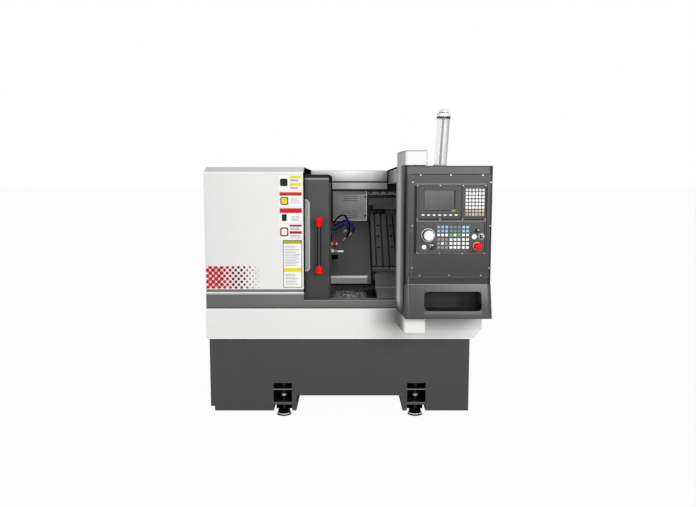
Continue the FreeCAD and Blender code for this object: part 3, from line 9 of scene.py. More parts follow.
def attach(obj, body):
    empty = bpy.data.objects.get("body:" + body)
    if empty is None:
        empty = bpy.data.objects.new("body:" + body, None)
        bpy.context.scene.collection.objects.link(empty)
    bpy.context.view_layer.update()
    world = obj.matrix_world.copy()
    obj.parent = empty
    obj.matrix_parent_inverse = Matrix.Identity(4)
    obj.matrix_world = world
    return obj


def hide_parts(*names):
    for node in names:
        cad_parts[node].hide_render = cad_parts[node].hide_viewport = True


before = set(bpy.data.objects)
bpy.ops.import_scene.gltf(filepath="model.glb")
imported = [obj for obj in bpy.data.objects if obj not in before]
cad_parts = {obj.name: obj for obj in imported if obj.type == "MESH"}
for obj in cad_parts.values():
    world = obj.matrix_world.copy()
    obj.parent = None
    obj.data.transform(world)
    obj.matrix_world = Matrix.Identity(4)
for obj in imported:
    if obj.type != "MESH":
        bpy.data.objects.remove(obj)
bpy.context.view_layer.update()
print("frame loaded with", len(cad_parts), "nodes")

middleDepth = 442.5   # mm from the white front to the middle of the machine


def spot(x, y, z):
    return Vector((x, y - middleDepth, z)) / 1000   # machine millimetres to the frame's metres


def tone(colour):   # red, green and blue from 0 to 255, or one number for a grey
    def linear(value):
        value = value / 255
        return value / 12.92 if value <= 0.04045 else ((value + 0.055) / 1.055) ** 2.4
    parts = colour if isinstance(colour, tuple) else (colour,) * 3
    return (*[linear(part) for part in parts], 1)


def placed(name, data):
    made = bpy.data.objects.new(name, data)
    bpy.context.scene.collection.objects.link(made)
    return made


# camera, floor and light

camera = {"place": (0.025, -4.4425, 1.48), "tilt": 84, "lens": 33.62, "sensor": 36}

studio = {
    "key": {"place": (2.3, -5.2, 2.9), "aim": (0, -0.4, 1), "width": 3, "height": 2.2, "power": 175},
    "fill": {"place": (-2.6, -5, 2.2), "aim": (0, -0.4, 0.9), "width": 2.4, "height": 2.4, "power": 40},
    "ambient": 0.42,
    "mirrored": 0.75,     # the room as smooth surfaces see it
    "floorShine": 0.96,    # how far the floor goes to plain white where the camera sees it
    "floorTone": tone(236),
    "floorCloud": tone((230, 230, 231)),
    "floorReach": 400.0,
}


def makeCamera():
    data = bpy.data.cameras.new("viewCamera")
    data.lens = camera["lens"]
    data.sensor_width = camera["sensor"]
    data.sensor_fit = "HORIZONTAL"
    made = placed("viewCamera", data)
    made.location = camera["place"]
    made.rotation_euler = (radians(camera["tilt"]), 0, 0)
    bpy.context.scene.camera = made


def makeLamp(name, lamp):
    data = bpy.data.lights.new(name, "AREA")
    data.shape = "RECTANGLE"
    data.size = lamp["width"]
    data.size_y = lamp["height"]
    data.energy = lamp["power"]
    made = placed(name, data)
    made.location = lamp["place"]
    toward = Vector(lamp["aim"]) - Vector(lamp["place"])
    made.rotation_euler = toward.to_track_quat("-Z", "Y").to_euler()


makeCamera()
makeLamp("keyLamp", studio["key"])
makeLamp("fillLamp", studio["fill"])
bpy.context.scene.view_settings.view_transform = "Standard"
print("camera and lamps placed")


# a wire is one socket, a finish is one material

class Wire:
    def __init__(self, finish, socket):
        self.finish = finish
        self.socket = socket

    def __add__(self, other):
        return self.finish.maths("ADD", self, other)

    def __sub__(self, other):
        return self.finish.maths("SUBTRACT", self, other)

    def __rsub__(self, other):
        return self.finish.maths("SUBTRACT", other, self)

    def __mul__(self, other):
        return self.finish.maths("MULTIPLY", self, other)

    def __gt__(self, other):
        return self.finish.maths("GREATER_THAN", self, other)

    def __lt__(self, other):
        return self.finish.maths("LESS_THAN", self, other)

    __radd__ = __add__
    __rmul__ = __mul__


bed = {"height": 600, "depth": 250, "slope": 37}   # foot of the slanted bed


def shifted(axis, value):   # a place in machine millimetres to the frame's metres
    return (value - (middleDepth if axis == "y" else 0)) / 1000


class Finish:
    def __init__(self, name, world=False):
        self.material = (bpy.data.worlds if world else bpy.data.materials).new(name)
        self.material.use_nodes = True
        self.tree = self.material.node_tree
        self.tree.nodes.clear()
        self.soft = None

    def node(self, kind, settings=None, sockets=None, out=0):
        made = self.tree.nodes.new("ShaderNode" + kind)
        for key, value in (settings or {}).items():
            setattr(made, key, value)
        for key, value in (sockets or {}).items():
            if isinstance(value, Wire):
                self.tree.links.new(value.socket, made.inputs[key])
            else:
                made.inputs[key].default_value = value
        return Wire(self, made.outputs[out]) if made.outputs else None

    def maths(self, operation, *values):
        return self.node("Math", {"operation": operation}, dict(enumerate(values)))

    def clamp(self, wire):
        return self.node("Clamp", sockets={"Value": wire})

    def sharpen(self, wire, low, gain):
        return self.clamp((wire - low) * gain)

    def mix(self, share, first, second):
        return self.node("Mix", {"data_type": "RGBA"}, {0: share, 6: first, 7: second}, out=2)

    def place(self):
        return self.node("TexCoord", out="Object")

    def axes(self, place):
        split = self.node("SeparateXYZ", sockets={0: place})
        self.at = dict(zip("xyz", [Wire(self, socket) for socket in split.socket.node.outputs]))
        return self.at.values()

    def upTheBed(self):   # n is the height over the slanted bed, s the distance up it
        rise, run = self.at["z"] - bed["height"] / 1000, self.at["y"] - shifted("y", bed["depth"])
        lean = radians(bed["slope"])
        self.at["n"] = rise * cos(lean) - run * sin(lean)
        self.at["s"] = run * cos(lean) + rise * sin(lean)

    def band(self, axis, low, high):   # 1 between the two, 0 outside them
        return self.maths("COMPARE", self.at[axis], shifted(axis, (low + high) / 2), (high - low) / 2000)

    def ramp(self, axis, start, end):   # 0 at the start, 1 at the end
        return self.node("MapRange", sockets={0: self.at[axis], 1: shifted(axis, start),
                                              2: shifted(axis, end)})

    def paint(self, colour, areas):
        for paint, share, limits, soft in areas:
            sides = [self.band(axis, *ends) for axis, ends in limits.items()]
            sides += [self.ramp(axis, *ends) for axis, ends in soft.items()]
            mask = sides[0]
            for side in sides[1:]:
                mask = mask * side
            self.lastMask = mask
            colour = self.mix(mask if share == 1 else mask * share, colour, paint)
        return colour

    def stretched(self, place, scale):
        return self.node("Mapping", sockets={"Vector": place, "Scale": scale})

    def noise(self, place, scale, detail=2, roughness=0.5):
        return self.node("TexNoise", sockets={"Vector": place, "Scale": scale, "Detail": detail,
                                              "Roughness": roughness})

    # mask of rounded edges, from which the recipes paint edge wear and a painted edge highlight
    def roundedEdgeMask(self, radius, gain=5):
        self.soft = self.node("Bevel", {"samples": 4}, {"Radius": radius})
        flat = self.node("NewGeometry", out="Normal")
        turn = self.node("VectorMath", {"operation": "DOT_PRODUCT"}, {0: self.soft, 1: flat}, out="Value")
        return self.clamp((1 - turn) * gain)

    def bump(self, height, strength, distance):   # on the rounded normal where there is one
        sockets = {"Strength": strength, "Distance": distance, "Height": height}
        if self.soft:
            sockets["Normal"] = self.soft
        return self.node("Bump", sockets=sockets)

    def close(self, sockets):
        shader = self.node("BsdfPrincipled", sockets=sockets)
        self.node("OutputMaterial", sockets={"Surface": shader})
        return self.material


# a recipe makes one finish from two colours and what differs from its look

sheetLook = {"dirt": tone((96, 92, 84)), "bare": tone(150), "cloud": 1.4, "edge": 0.0015, "worn": 0.5,
             "grime": 0.05, "rough": 0.42, "gloss": 0.5, "peel": 0.10, "peelScale": 420, "scuffScale": 38,
             "grimeScale": 2.3}


def paintedSheet(name, colour, shade, changes):
    finish, look = Finish(name), {**sheetLook, **changes}
    place = finish.place()
    cloud = finish.noise(place, look["cloud"], 3)
    peel = finish.noise(place, look["peelScale"], 1)
    edgeWearAndSheen = finish.roundedEdgeMask(look["edge"])
    scuff = finish.sharpen(finish.noise(place, look["scuffScale"], 4), 0.52, 7)
    grime = finish.sharpen(finish.noise(place, look["grimeScale"], 5, 0.62), 0.5, 3) * look["grime"]
    colour = finish.mix(finish.sharpen(cloud, 0.3, 2.5), colour, shade)
    colour = finish.mix(grime, colour, look["dirt"])
    colour = finish.mix(edgeWearAndSheen * scuff * look["worn"], colour, look["bare"])
    return finish.close({
        "Base Color": colour,
        "Roughness": look["rough"] + (cloud - 0.5) * 0.14 + grime * 0.3,
        "Coat Weight": 0.12,
        "Coat Roughness": 0.2,
        "Specular IOR Level": look["gloss"],
        "Normal": finish.bump(peel, look["peel"], 0.0004),
    })


metalLook = {"dirt": tone((62, 58, 52)), "bright": tone((225, 225, 222)), "stretch": (1, 1, 1), "scale": 60,
             "crisp": 1, "cloud": 6, "stain": 0.35, "edge": 0.0008, "worn": 0.6, "metallic": 1,
             "rough": 0.34, "depth": 0.15}


def metal(name, colour, shade, changes):
    finish, look = Finish(name), {**metalLook, **changes}
    place = finish.place()
    grain = finish.noise(finish.stretched(place, look["stretch"]), look["scale"], 3)
    grain = finish.clamp((grain - 0.5) * look["crisp"] + 0.5)
    cloud = finish.noise(place, look["cloud"], 3)
    edgeWearAndSheen = finish.roundedEdgeMask(look["edge"])
    colour = finish.mix(grain, colour, shade)
    colour = finish.mix(finish.sharpen(cloud, 0.55, 4) * look["stain"], colour, look["dirt"])
    # rounded edges brighter: edge wear and painted edge highlight
    colour = finish.mix(edgeWearAndSheen * look["worn"], colour, look["bright"])
    return finish.close({
        "Base Color": colour,
        "Metallic": look["metallic"],
        "Roughness": look["rough"] + (grain - 0.5) * 0.18 + (cloud - 0.5) * 0.12,
        "Normal": finish.bump(grain, look["depth"], 0.0003),
    })


plasticLook = {"bare": tone(200), "grain": 900, "cloud": 14, "edge": 0.0006, "worn": 0.15, "rough": 0.4,
               "gloss": 0.3, "depth": 0.12}


def plastic(name, colour, shade, changes):
    finish, look = Finish(name), {**plasticLook, **changes}
    place = finish.place()
    grain = finish.noise(place, look["grain"], 2)
    cloud = finish.noise(place, look["cloud"], 3)
    edgeWearAndSheen = finish.roundedEdgeMask(look["edge"])
    colour = finish.mix(finish.sharpen(cloud, 0.35, 3), colour, shade)
    colour = finish.mix(edgeWearAndSheen * look["worn"], colour, look["bare"])
    return finish.close({
        "Base Color": colour,
        "Roughness": look["rough"] + (cloud - 0.5) * 0.15,
        "Specular IOR Level": look["gloss"],
        "Normal": finish.bump(grain, look["depth"], 0.0002),
    })


paneLook = {"shadedSideTone": tone(150), "edge": 1, "haze": 5, "streaks": (30, 1, 1), "tubeX": 0.615,
            "tubeZ": 1.606, "tubeLean": 0.0537}   # painted shade: the tube's right side is darker past the edge


def clearPane(name, colour, shade, changes):
    finish, look = Finish(name), {**paneLook, **changes}
    place = finish.place()
    haze = finish.noise(place, look["haze"], 4)
    streak = finish.noise(finish.stretched(place, look["streaks"]), 2, 3)
    x, y, z = finish.axes(place)
    across = x - look["tubeX"] - (z - look["tubeZ"]) * look["tubeLean"]
    edge = finish.sharpen(across, look["edge"], 60)
    return finish.close({
        "Base Color": finish.mix(edge, finish.mix(haze, colour, shade), look["shadedSideTone"]),
        "Roughness": look["rough"] + haze * 0.08,
        "Alpha": finish.clamp(look["alpha"] + (streak - 0.5) * look["streak"] + edge * 0.25),
        "Coat Weight": 0.5,
        "Normal": finish.bump(haze, 0.05, 0.001),
    })


printed = {"worn": 0, "rough": 0.55}   # a print or key that keeps its colour
alongX, alongY = (0.05, 1, 1), (1, 0.05, 1)   # brushed grain

sheets = {
    "flangeGrey": ((172, 172, 170), (120, 120, 118), {"cloud": 26, "grime": 0.5}),
    "roofBlack": (16, (12, 12, 13), {"rough": 0.5, "gloss": 0.2}),
    "motorGrey": ((84, 84, 82), (72, 72, 71), {"grime": 0.3}),
    "cabinetGrey": (96, (90, 90, 91), {"rough": 0.45}),
}
metals = {
    "groundSteel": (150, (126, 126, 127), {
        "metallic": 0.7, "stretch": alongY, "scale": 260, "rough": 0.36}),
    "brightSteel": (253, 246, {
        "stretch": alongX, "scale": 300, "rough": 0.1, "stain": 0.1}),
    "screwSteel": (190, (150, 150, 151), {"metallic": 0.9, "scale": 300, "rough": 0.3}),
    "castIron": (92, (78, 78, 79), {
        "metallic": 0.3, "scale": 180, "rough": 0.6, "depth": 0.5, "stain": 0.5}),
    "stripAlloy": (146, (134, 134, 135), {
        "metallic": 0.7, "stretch": (0.04, 1, 1), "scale": 300}),
    "swarf": (214, 10, {
        "metallic": 0.6, "scale": 110, "rough": 0.4, "crisp": 7, "dirt": tone(20)}),
}
plastics = {
    "poleGrey": (158, 146, {"rough": 0.5}),
    "beadGrey": (206, 190, {"rough": 0.5}),
    "blackRubber": ((24, 24, 26), (32, 32, 34), {"rough": 0.6, "depth": 0.4, "grain": 500, "bare": tone(60)}),
    "sealBlack": (6, 9, {"rough": 0.8, "gloss": 0, "worn": 0}),
    "blackPlastic": ((22, 22, 23), (30, 30, 31), {"rough": 0.28}),
    "redPlastic": ((250, 0, 8), (232, 0, 4), {"gloss": 0.2, "bare": tone((255, 90, 80))}),
    "knobRed": ((176, 26, 28), (146, 18, 22), {"rough": 0.35}),
    "whitePlastic": (244, 234, {"bare": tone(250)}),
    "hoseBlue": ((30, 12, 132), (8, 8, 56), {"rough": 0.3, "bare": tone((80, 66, 160)), "worn": 0.5}),
    "dotRed": ((196, 4, 16), (172, 4, 14), printed),
    "dotDark": ((108, 1, 5), (96, 1, 4), printed),
    "dotDusk": ((124, 60, 74), (112, 54, 66), printed),
    "keyWhite": ((246, 246, 244), (236, 236, 234), {}),
    "keySand": ((206, 190, 172), (166, 150, 134), {}),
    "keyAsh": ((214, 214, 208), (200, 200, 194), {}),
    "keyGrey": ((150, 152, 154), (140, 142, 144), printed),
    "keySky": ((150, 186, 222), (138, 176, 214), printed),
    "keyAqua": ((160, 205, 225), (150, 196, 218), printed),
    "keyMoss": ((120, 140, 132), (110, 130, 122), printed),
    "keyGreen": ((96, 210, 104), (84, 196, 92), {}),
    "collarYellow": ((228, 202, 110), (214, 186, 92), {}),
    "fieldWhite": ((244, 244, 242), (238, 238, 236), {"worn": 0}),
    "fieldRule": ((140, 140, 144), (128, 128, 132), {"worn": 0}),
    "fieldDark": ((14, 12, 12), 8, printed),
    "fieldYellow": ((232, 224, 0), (222, 212, 0), printed),
    "fieldOlive": ((168, 172, 16), (156, 160, 12), printed),
    "fieldOrange": ((204, 40, 8), (190, 34, 6), printed),
    "fieldRed": ((210, 0, 10), (196, 0, 8), printed),
    "fieldMaroon": ((176, 0, 18), (164, 0, 14), printed),
    "fieldOutline": (98, 88, {"worn": 0}),
}
panes = {
    "paneGrey": ((194, 196, 196), (166, 168, 168), {"rough": 0.14, "alpha": 0.86, "streak": 0.2}),
    "milkTube": ((252, 253, 253), (240, 242, 242), {
        "rough": 0.2, "alpha": 0.11, "streak": 0.24, "edge": 0.02}),
}
finishes = {}
for recipe, table in ((paintedSheet, sheets), (metal, metals), (plastic, plastics), (clearPane, panes)):
    for name, (colour, shade, changes) in table.items():
        finishes[name] = recipe(name, tone(colour), tone(shade), changes)


glass = {"x": 0.46, "z": 1.451, "slope": 2.2, "rise": 4.2, "light": tone((100, 101, 102)),
         "dark": tone((66, 66, 67)), "rough": 0.16}


def screenGlass():
    finish = Finish("screenGlass")
    x, y, z = finish.axes(finish.place())
    paintedSheen = finish.clamp((x - glass["x"]) * glass["slope"] + (glass["z"] - z) * glass["rise"])
    return finish.close({
        "Base Color": finish.mix(paintedSheen, glass["light"], glass["dark"]),   # painted reflection, lighter to the upper left
        "Roughness": glass["rough"] + finish.noise(finish.place(), 30, 3) * 0.08,
        "Coat Weight": 0.6,
        "Coat Roughness": 0.05,
    })


brass = {"colour": tone((255, 222, 190)), "shade": tone((255, 200, 156)), "bright": tone((255, 238, 220)),
         "manifold": tone(46), "manifoldX": -0.0829, "manifoldZ": 1.135, "scale": 160}


def brassFittings():
    finish = Finish("brassFittings")
    place = finish.place()
    x, y, z = finish.axes(place)
    grain = finish.noise(place, brass["scale"], 3)
    edgeWearAndSheen = finish.roundedEdgeMask(0.0008)
    # painted shade: the manifold behind the bulkhead edge is coloured dark grey
    manifold = (x < brass["manifoldX"]) * (z > brass["manifoldZ"])
    colour = finish.mix(grain, brass["colour"], brass["shade"])
    # rounded edges brighter: edge wear and painted highlight
    colour = finish.mix(edgeWearAndSheen * 0.5, colour, brass["bright"])
    return finish.close({
        "Base Color": finish.mix(manifold, colour, brass["manifold"]),
        "Metallic": 0.4,
        "Roughness": 0.2 + (grain - 0.5) * 0.2,
        "Coat Weight": 1,
        "Normal": finish.bump(grain, 0.1, 0.0003),
    })


finishes["screenGlass"] = screenGlass()
finishes["brass"] = brassFittings()
print("finishes made:", len(finishes))


# areas of a part that are lighter or darker, with hard limits and soft ramps in machine millimetres: most are
# painted light and shade, a few the part's own marks

far = 9999   # a limit past the machine


def area(colour, soft=None, share=1, **limits):
    return tone(colour), share, limits, soft or {}


areaLook = {"bare": tone(150), "cloud": 1.4, "stretch": (1, 1, 1), "scale": 420, "edge": 0.0015,
            "worn": 0.9, "metallic": 0, "rough": 0.42, "gloss": 0.3, "depth": 0.10, "slanted": False,
            "edges": (), "bright": ()}   # areas painted over the rounded edges, and painted highlights made near white and metallic


def shaded(name, colour, shade, changes, areas):   # paint or metal with its part's areas on it, most of them painted light and shade
    finish, look = Finish(name), {**areaLook, **changes}
    place = finish.place()
    finish.axes(place)
    if look["slanted"]:
        finish.upTheBed()
    cloud = finish.noise(place, look["cloud"], 3)
    grain = finish.noise(finish.stretched(place, look["stretch"]), look["scale"], 3)
    edgeWearAndSheen = finish.roundedEdgeMask(look["edge"])
    colour = finish.mix(finish.sharpen(cloud, 0.3, 2.5), colour, shade)
    colour = finish.paint(colour, areas)
    # rounded edges lighter on dark paint and greyer on white: edge wear and painted edge highlight
    colour = finish.mix(edgeWearAndSheen * grain * look["worn"], colour, look["bare"])
    colour = finish.paint(colour, look["edges"])
    metallic = look["metallic"]
    # painted highlights: each bright area is painted near white and made metallic, so that it reflects the
    # room
    for bare in look["bright"]:
        colour = finish.paint(colour, [bare])
        metallic = finish.lastMask * bare[1] + metallic
    return finish.close({
        "Base Color": colour,
        "Metallic": metallic,
        "Roughness": look["rough"] + (cloud - 0.5) * 0.14 + (grain - 0.5) * 0.1,
        "Specular IOR Level": look["gloss"],
        "Normal": finish.bump(grain, look["depth"], 0.0004),
    })


white = ((233, 233, 230), (228, 229, 226))
brushed = {"metallic": 0.3, "stretch": (1, 0.06, 1), "scale": 220, "slanted": True}
areaFinishes = {   # two colours, what differs from areaLook, areas
    # painted shade on the top bevel, on the front's left part and in the recess, the ledge painted darker,
    # painted highlights on the fold and on the ledge's top
    "coverWhite": (*white, {"rough": 0.38, "bare": tone(140)}, [
        area(212, y=(20, 92), z=(1556, far), soft={"x": (-300, -1000)}),
        area(252, y=(-far, 6), z=(1553, 1562)),
        area(222, y=(-far, 2), z=(840, 1552), soft={"x": (-560, -900)}),
        area(118, z=(817.2, 834.5), y=(0.5, far)), area(156, z=(803, 817.2), y=(-far, 5)),
        area(252, z=(811.5, 817.4), y=(-far, 5)),
    ]),
    # painted shade on the fascia's left face, darker going back, and on the side below it, and a black
    # painted shade line along the top edge
    "rightWhite": (*white, {"gloss": 0, "bare": tone(140)}, [
        area(116, x=(-far, 328.2), z=(1400, far), soft={"y": (60, 860)}),
        area(150, x=(-far, 325.4), z=(-far, 1500)), area(2, x=(-far, 350), z=(1582, far), y=(20, far)),
    ]),
    # painted shadow beside the column and painted shade under the box, both darker upwards, a painted
    # highlight along the top edge, a lighter strip along the bottom
    "apronWhite": (*white, {"rough": 0.38, "bare": tone(140)}, [
        area(124, y=(-far, 0), x=(100, 352), soft={"x": (150, 340), "z": (560, 635)}),
        area(190, y=(-far, 0), x=(352, far), soft={"z": (570, 640)}), area(252, z=(712, far), y=(-far, 0)),
        area(250, z=(-far, 529), y=(-far, 0)),
    ]),
    # painted shade: the column's left face grey, darker towards the box and near the bottom, the arms' and
    # the foot's left faces grey, lighter towards the front, a darker top and right edge on the upper arm
    "columnWhite": (*white, {"gloss": 0, "bare": tone(140)}, [
        area(170, x=(-far, 360), z=(714, 1594), soft={"y": (-45, 5)}),
        area(100, x=(-far, 360), z=(714, 1594), soft={"y": (-122, -172)}),
        area(90, x=(-far, 360), z=(714, 1594), soft={"z": (790, 726)}),
        area(222, x=(-far, 349), z=(1594, far)), area(136, x=(-far, 349), z=(-far, 714)),
        area(226, x=(-far, 349), z=(-far, 714), soft={"y": (-163, -290)}), area(176, z=(1670, far)),
        area(190, x=(471, far), z=(1594, far)),
    ]),
    # painted light and shade: a painted reflection on the upper part, darker towards both ends and behind the
    # right cover, black painted shade in the groove and along the bottom edge
    "railWhite": (253, 248, {
        "bright": [area(252, z=(1509, far), soft={"x": (220, 40), "z": (1520, 1575)}, share=0.4)],
    }, [
        area(226, z=(1509, far), soft={"z": (1575, 1512)}), area(190, z=(1509, far), soft={"x": (0, -120)}),
        area(128, z=(1509, far), soft={"x": (200, 330)}, share=0.8), area(238, z=(-far, 1499)),
        area(176, z=(-far, 1499), soft={"x": (60, -110)}),
        area(150, z=(-far, 1499), soft={"x": (140, 340)}, share=0.8), area(24, z=(1498, 1510)),
        area(30, z=(-far, 1451)), area(16, x=(316, far)),
    ]),
    # painted highlights on the right and bottom edges, painted shade towards the left, at the top and in the
    # slots; the two bolt heads black
    "louvreGrey": (234, 226, {
        "bright": [area(252, x=(162, far), share=0.8), area(252, z=(-far, 1219), share=0.7)],
    }, [
        area(140, soft={"x": (140, -110)}), area(60, y=(930.3, far)), area(160, z=(1412, far)),
        area(2, x=(149.5, 162.5), z=(1244, 1257)), area(2, x=(149.5, 162.5), z=(1385, 1398)),
    ]),
    # painted shade on the inside face, darker towards the top
    "wallPanel": (*white, {}, [
        area(56, y=(-far, 936), z=(-far, 1500)),
        area(24, y=(-far, 936), z=(-far, 1500), soft={"z": (1400, 1450)}),
    ]),
    # painted shade: the bulkhead near black, lighter between its front and back edges
    "wallDark": (8, 6, {"gloss": 0}, [
        area(110, y=(120, 560)),
        area(2, x=(-92.5, far)),   # the stop block
    ]),
    # black painted shade along the top and left and in a gap low down, a painted highlight line across
    "driveGrey": (113, 103, {}, [
        area(6, z=(1386, far)), area(2, x=(-far, 214), z=(1286, 1335)),
        area(140, z=(1306, 1312), x=(214, far)), area(2, z=(1252, 1302), x=(214, 306)),
    ]),
    # painted shade: the rod's two sides black, its middle grey
    "rodGrey": (70, 62, {"gloss": 0.1}, [area(2, x=(-far, -159)), area(2, x=(-146, far))]),
    # painted shade darker towards the bottom and the left, a painted highlight on the top edge, a black
    # painted shadow line along the bottom
    "sillGrey": (108, 105, {}, [
        area(92, soft={"z": (750, 722)}), area(150, z=(765.5, 768.5), y=(-far, 0), x=(-246, far)),
        area(96, z=(726, far), soft={"x": (-400, -860)}, share=0.8), area(4, z=(-far, 721.5), y=(-far, 0)),
    ]),
    # painted shade inside the pad bays, painted highlights on two lips at each bay
    "baseGrey": (71, 67, {"depth": 0.2, "rough": 0.5}, [
        area(value, x=(bay - half, bay + half), y=depth, z=height) for value, half, depth, height in (
            (12, 59.5, (24, 926), (-far, 232)), (140, 59, (-far, 24), (186, 193)),
            (96, 59, (-far, 24), (99, 106))) for bay in (-390, 460)
    ]),
    # painted shade, darker towards the bottom
    "doorGrey": (76, 72, {}, [area(59, soft={"z": (1450, 800)})]),
    # painted light and shade: top band lighter, lower part darker, slope lighter to the right and upwards,
    # darker towards the bottom; painted highlights on the seam, down the left edge and under the pocket;
    # painted shade on the left side, black lines on the right, top and bottom edges, the pocket black with
    # its left part grey
    "boxGrey": (70, 66, {"edges": [area(2, x=(831, far))]}, [
        area(93, z=(1541, far)), area(52, z=(-far, 947)), area(56, z=(-far, 909)),
        area(114, z=(-far, 909), soft={"x": (380, 800), "z": (790, 905)}),
        area(40, z=(-far, 909), soft={"z": (840, 700)}), area(120, z=(907, 911), x=(368, 838)),
        area(110, x=(371, 375), soft={"z": (700, 900)}), area(22, x=(-far, 360)), area(4, x=(834, far)),
        area(6, z=(-far, 725)), area(20, z=(1585, far)),
        area(98, x=(463, 795), z=(725, 759), soft={"z": (734, 758)}), area(2, x=(463, 795), z=(759, 869)),
        area(36, x=(464, 794.4), z=(760.5, 868), soft={"x": (698, 650)}),
    ]),
    # painted light, lighter towards the top; black painted shade lines on the top and right edges and in the
    # grooves beside the units; painted highlight lines on the left and bottom edges and above the unit
    "plateGrey": (57, 54, {"edges": [area(2, x=(837, far))]}, [
        area(78, soft={"z": (950, 1541)}), area(30, z=(1537.5, far)), area(84, x=(386, 390)),
        area(84, z=(950, 953)), area(4, x=(403, 415), z=(1094, 1478)),
        area(4, x=(812, 820), z=(1094, 1478)), area(130, z=(1484, 1489), x=(414, 812)),
    ]),
    # black painted shade along the left, right and bottom edges and beside the screen; a dark line between
    # the screen and the keys
    "unitBlack": (71, 67, {"gloss": 0.35}, [
        area(4, x=(669, 676)), area(4, z=(-far, 1290)), area(10, x=(808, far)), area(10, x=(-far, 418)),
        area(4, x=(630.5, 637), z=(1338, 1452)),
    ]),
    # a painted highlight on the ridge, black painted shade along the left and right edges
    "operatorBlack": (76, 72, {"gloss": 0.35}, [
        area(120, z=(1273, 1279)), area(4, x=(-far, 418), z=(-far, 1272)),
        area(8, x=(805, 810), z=(-far, 1262)),
    ]),
    "modeBlack": (14, 18, {"gloss": 0.5}, [
        area(235, x=(492, 512), z=(1137, 1143)), area(190, x=(494, 500), z=(1124, 1140)),
    ]),
    "feedSilver": (225, 205, {"metallic": 0.6, "rough": 0.25}, [
        area(6, x=(777, 799), z=(1177, 1196)), area(235, x=(786, 804), z=(1186, 1191)),
    ]),
    "keyBlack": (14, 18, {"gloss": 0.5}, [area(225, x=(762, 775), z=(1223, 1228))]),
    # painted reflection: a light ring low on the pad
    "padBlack": (10, 16, {"gloss": 0}, [area(240, z=(8.5, 13))]),
    "studSteel": (225, 205, {"metallic": 0.4}, [area(40, z=(-far, 124)), area(60, z=(138, far))]),
    "capChrome": (250, 240, {"metallic": 0.5, "rough": 0.2}, [
        area(4, z=(-far, 1912)), area(120, z=(1932, 1938)),
    ]),
    # painted shade: the wheel's side black
    "wheelWhite": (246, 238, {"rough": 0.35}, [area(4, y=(-331, far))]),
    # painted shade: the buttons' sides black
    "buttonWhite": (246, 238, {"rough": 0.35}, [area(4, y=(-295.6, far))]),
    # painted shade: the tray black past the swarf
    "traySteel": (70, 58, {"metallic": 0.3, "scale": 220}, [area(2, x=(136, far))]),
    # a painted highlight on the end's top edge, painted shade in the T-slots and black on the left side, the
    # end face painted light against its shade and darker near its top
    "tableSteel": (98, 84, {
        "metallic": 0.4, "stretch": alongY, "scale": 260, "slanted": True,
        "bright": [area(252, s=(-far, 317.5), n=(157, 167))],
    }, [
        area(46, n=(140, 178.6)), area(6, x=(-far, 192)), area(150, s=(-far, 317)),
        area(40, s=(-far, 317), n=(168, far)),
    ]),
    # the end face painted light against its shade, black painted shade on the left side
    "saddleIron": (84, 74, {"metallic": 0.2, "scale": 180, "depth": 0.4, "slanted": True}, [
        area(150, s=(-far, 309)), area(6, x=(-far, 201)),
    ]),
    # a painted highlight on the top edge, the lip's front painted lighter
    "coverLip": (97, 89, {
        **brushed, "bright": [area(252, y=(-far, 454), n=(76, 86), share=0.7)],
    }, [
        area(172, y=(-far, 451)),
    ]),
    # the front sheet lighter grey, painted lighter still below the fold, a painted highlight on the fold, a
    # black painted shade line; the moving strip its own grey
    "coverSteel": (92, 84, brushed, [
        area(118, x=(205, 376)), area(150, x=(205, 376), z=(-far, 796)),
        area(176, x=(205, 376), z=(793, 797.5)), area((112, 110, 108), x=(-far, 200)),
        area(4, x=(183, 200)),
    ]),
}
for name, (colour, shade, changes, areas) in areaFinishes.items():
    finishes[name] = shaded(name, tone(colour), tone(shade), changes, areas)
print("finishes with areas made:", len(areaFinishes))


coats = {
    "apronWhite": "apron", "wallPanel": "back_panel", "coverWhite": "left_cover", "rightWhite": "right_cover",
    "columnWhite": "control_column", "railWhite": "rear_rail", "wallDark": "bulkhead",
    "louvreGrey": "louvre_plate", "baseGrey": "base_cabinet", "sillGrey": "sill_band",
    "doorGrey": "door_panel", "roofBlack": "door_roof", "rodGrey": "handle_rod",
    "redPlastic": "handle_ends estop_cap", "paneGrey": "door_window", "beadGrey": "window_bead",
    "boxGrey": "control_box", "plateGrey": "panel_plate", "unitBlack": "cnc_unit",
    "operatorBlack": "operator_panel", "screenGlass": "cnc_screen", "screwSteel": "panel_screws",
    "wheelWhite": "handwheel", "modeBlack": "mode_switch", "feedSilver": "feed_switch",
    "keyBlack": "key_switch", "buttonWhite": "start_button stop_button", "castIron": "slant_bed headstock",
    "saddleIron": "saddle", "tableSteel": "cross_slide", "blackRubber": "table_bolts drive_belt",
    "groundSteel": "z_guide_rails z_ballscrew x_ballscrew spindle spindle_pulley motor_pulley",
    "studSteel": "levelling_bolts", "brightSteel": "chuck_ring bar_stock", "capChrome": "signal_cap",
    "coverLip": "way_covers", "coverSteel": "carriage_covers", "traySteel": "chip_tray",
    "driveGrey": "x_drive", "motorGrey": "spindle_motor", "brass": "coolant_fittings",
    "knobRed": "valve_knob", "padBlack": "levelling_pads", "poleGrey": "signal_base",
    "milkTube": "signal_lens", "cabinetGrey": "electrical_cabinet cabinet_door",
    "blackPlastic": "cabinet_latch",
}


def coatNodes():
    for coat, nodes in coats.items():
        for node in nodes.split():
            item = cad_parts[node]
            if not item.material_slots:
                item.data.materials.append(finishes[coat])
            for holder in item.material_slots:
                holder.material = finishes[coat]


coatNodes()
print("nodes coated with", len(coats), "finishes")


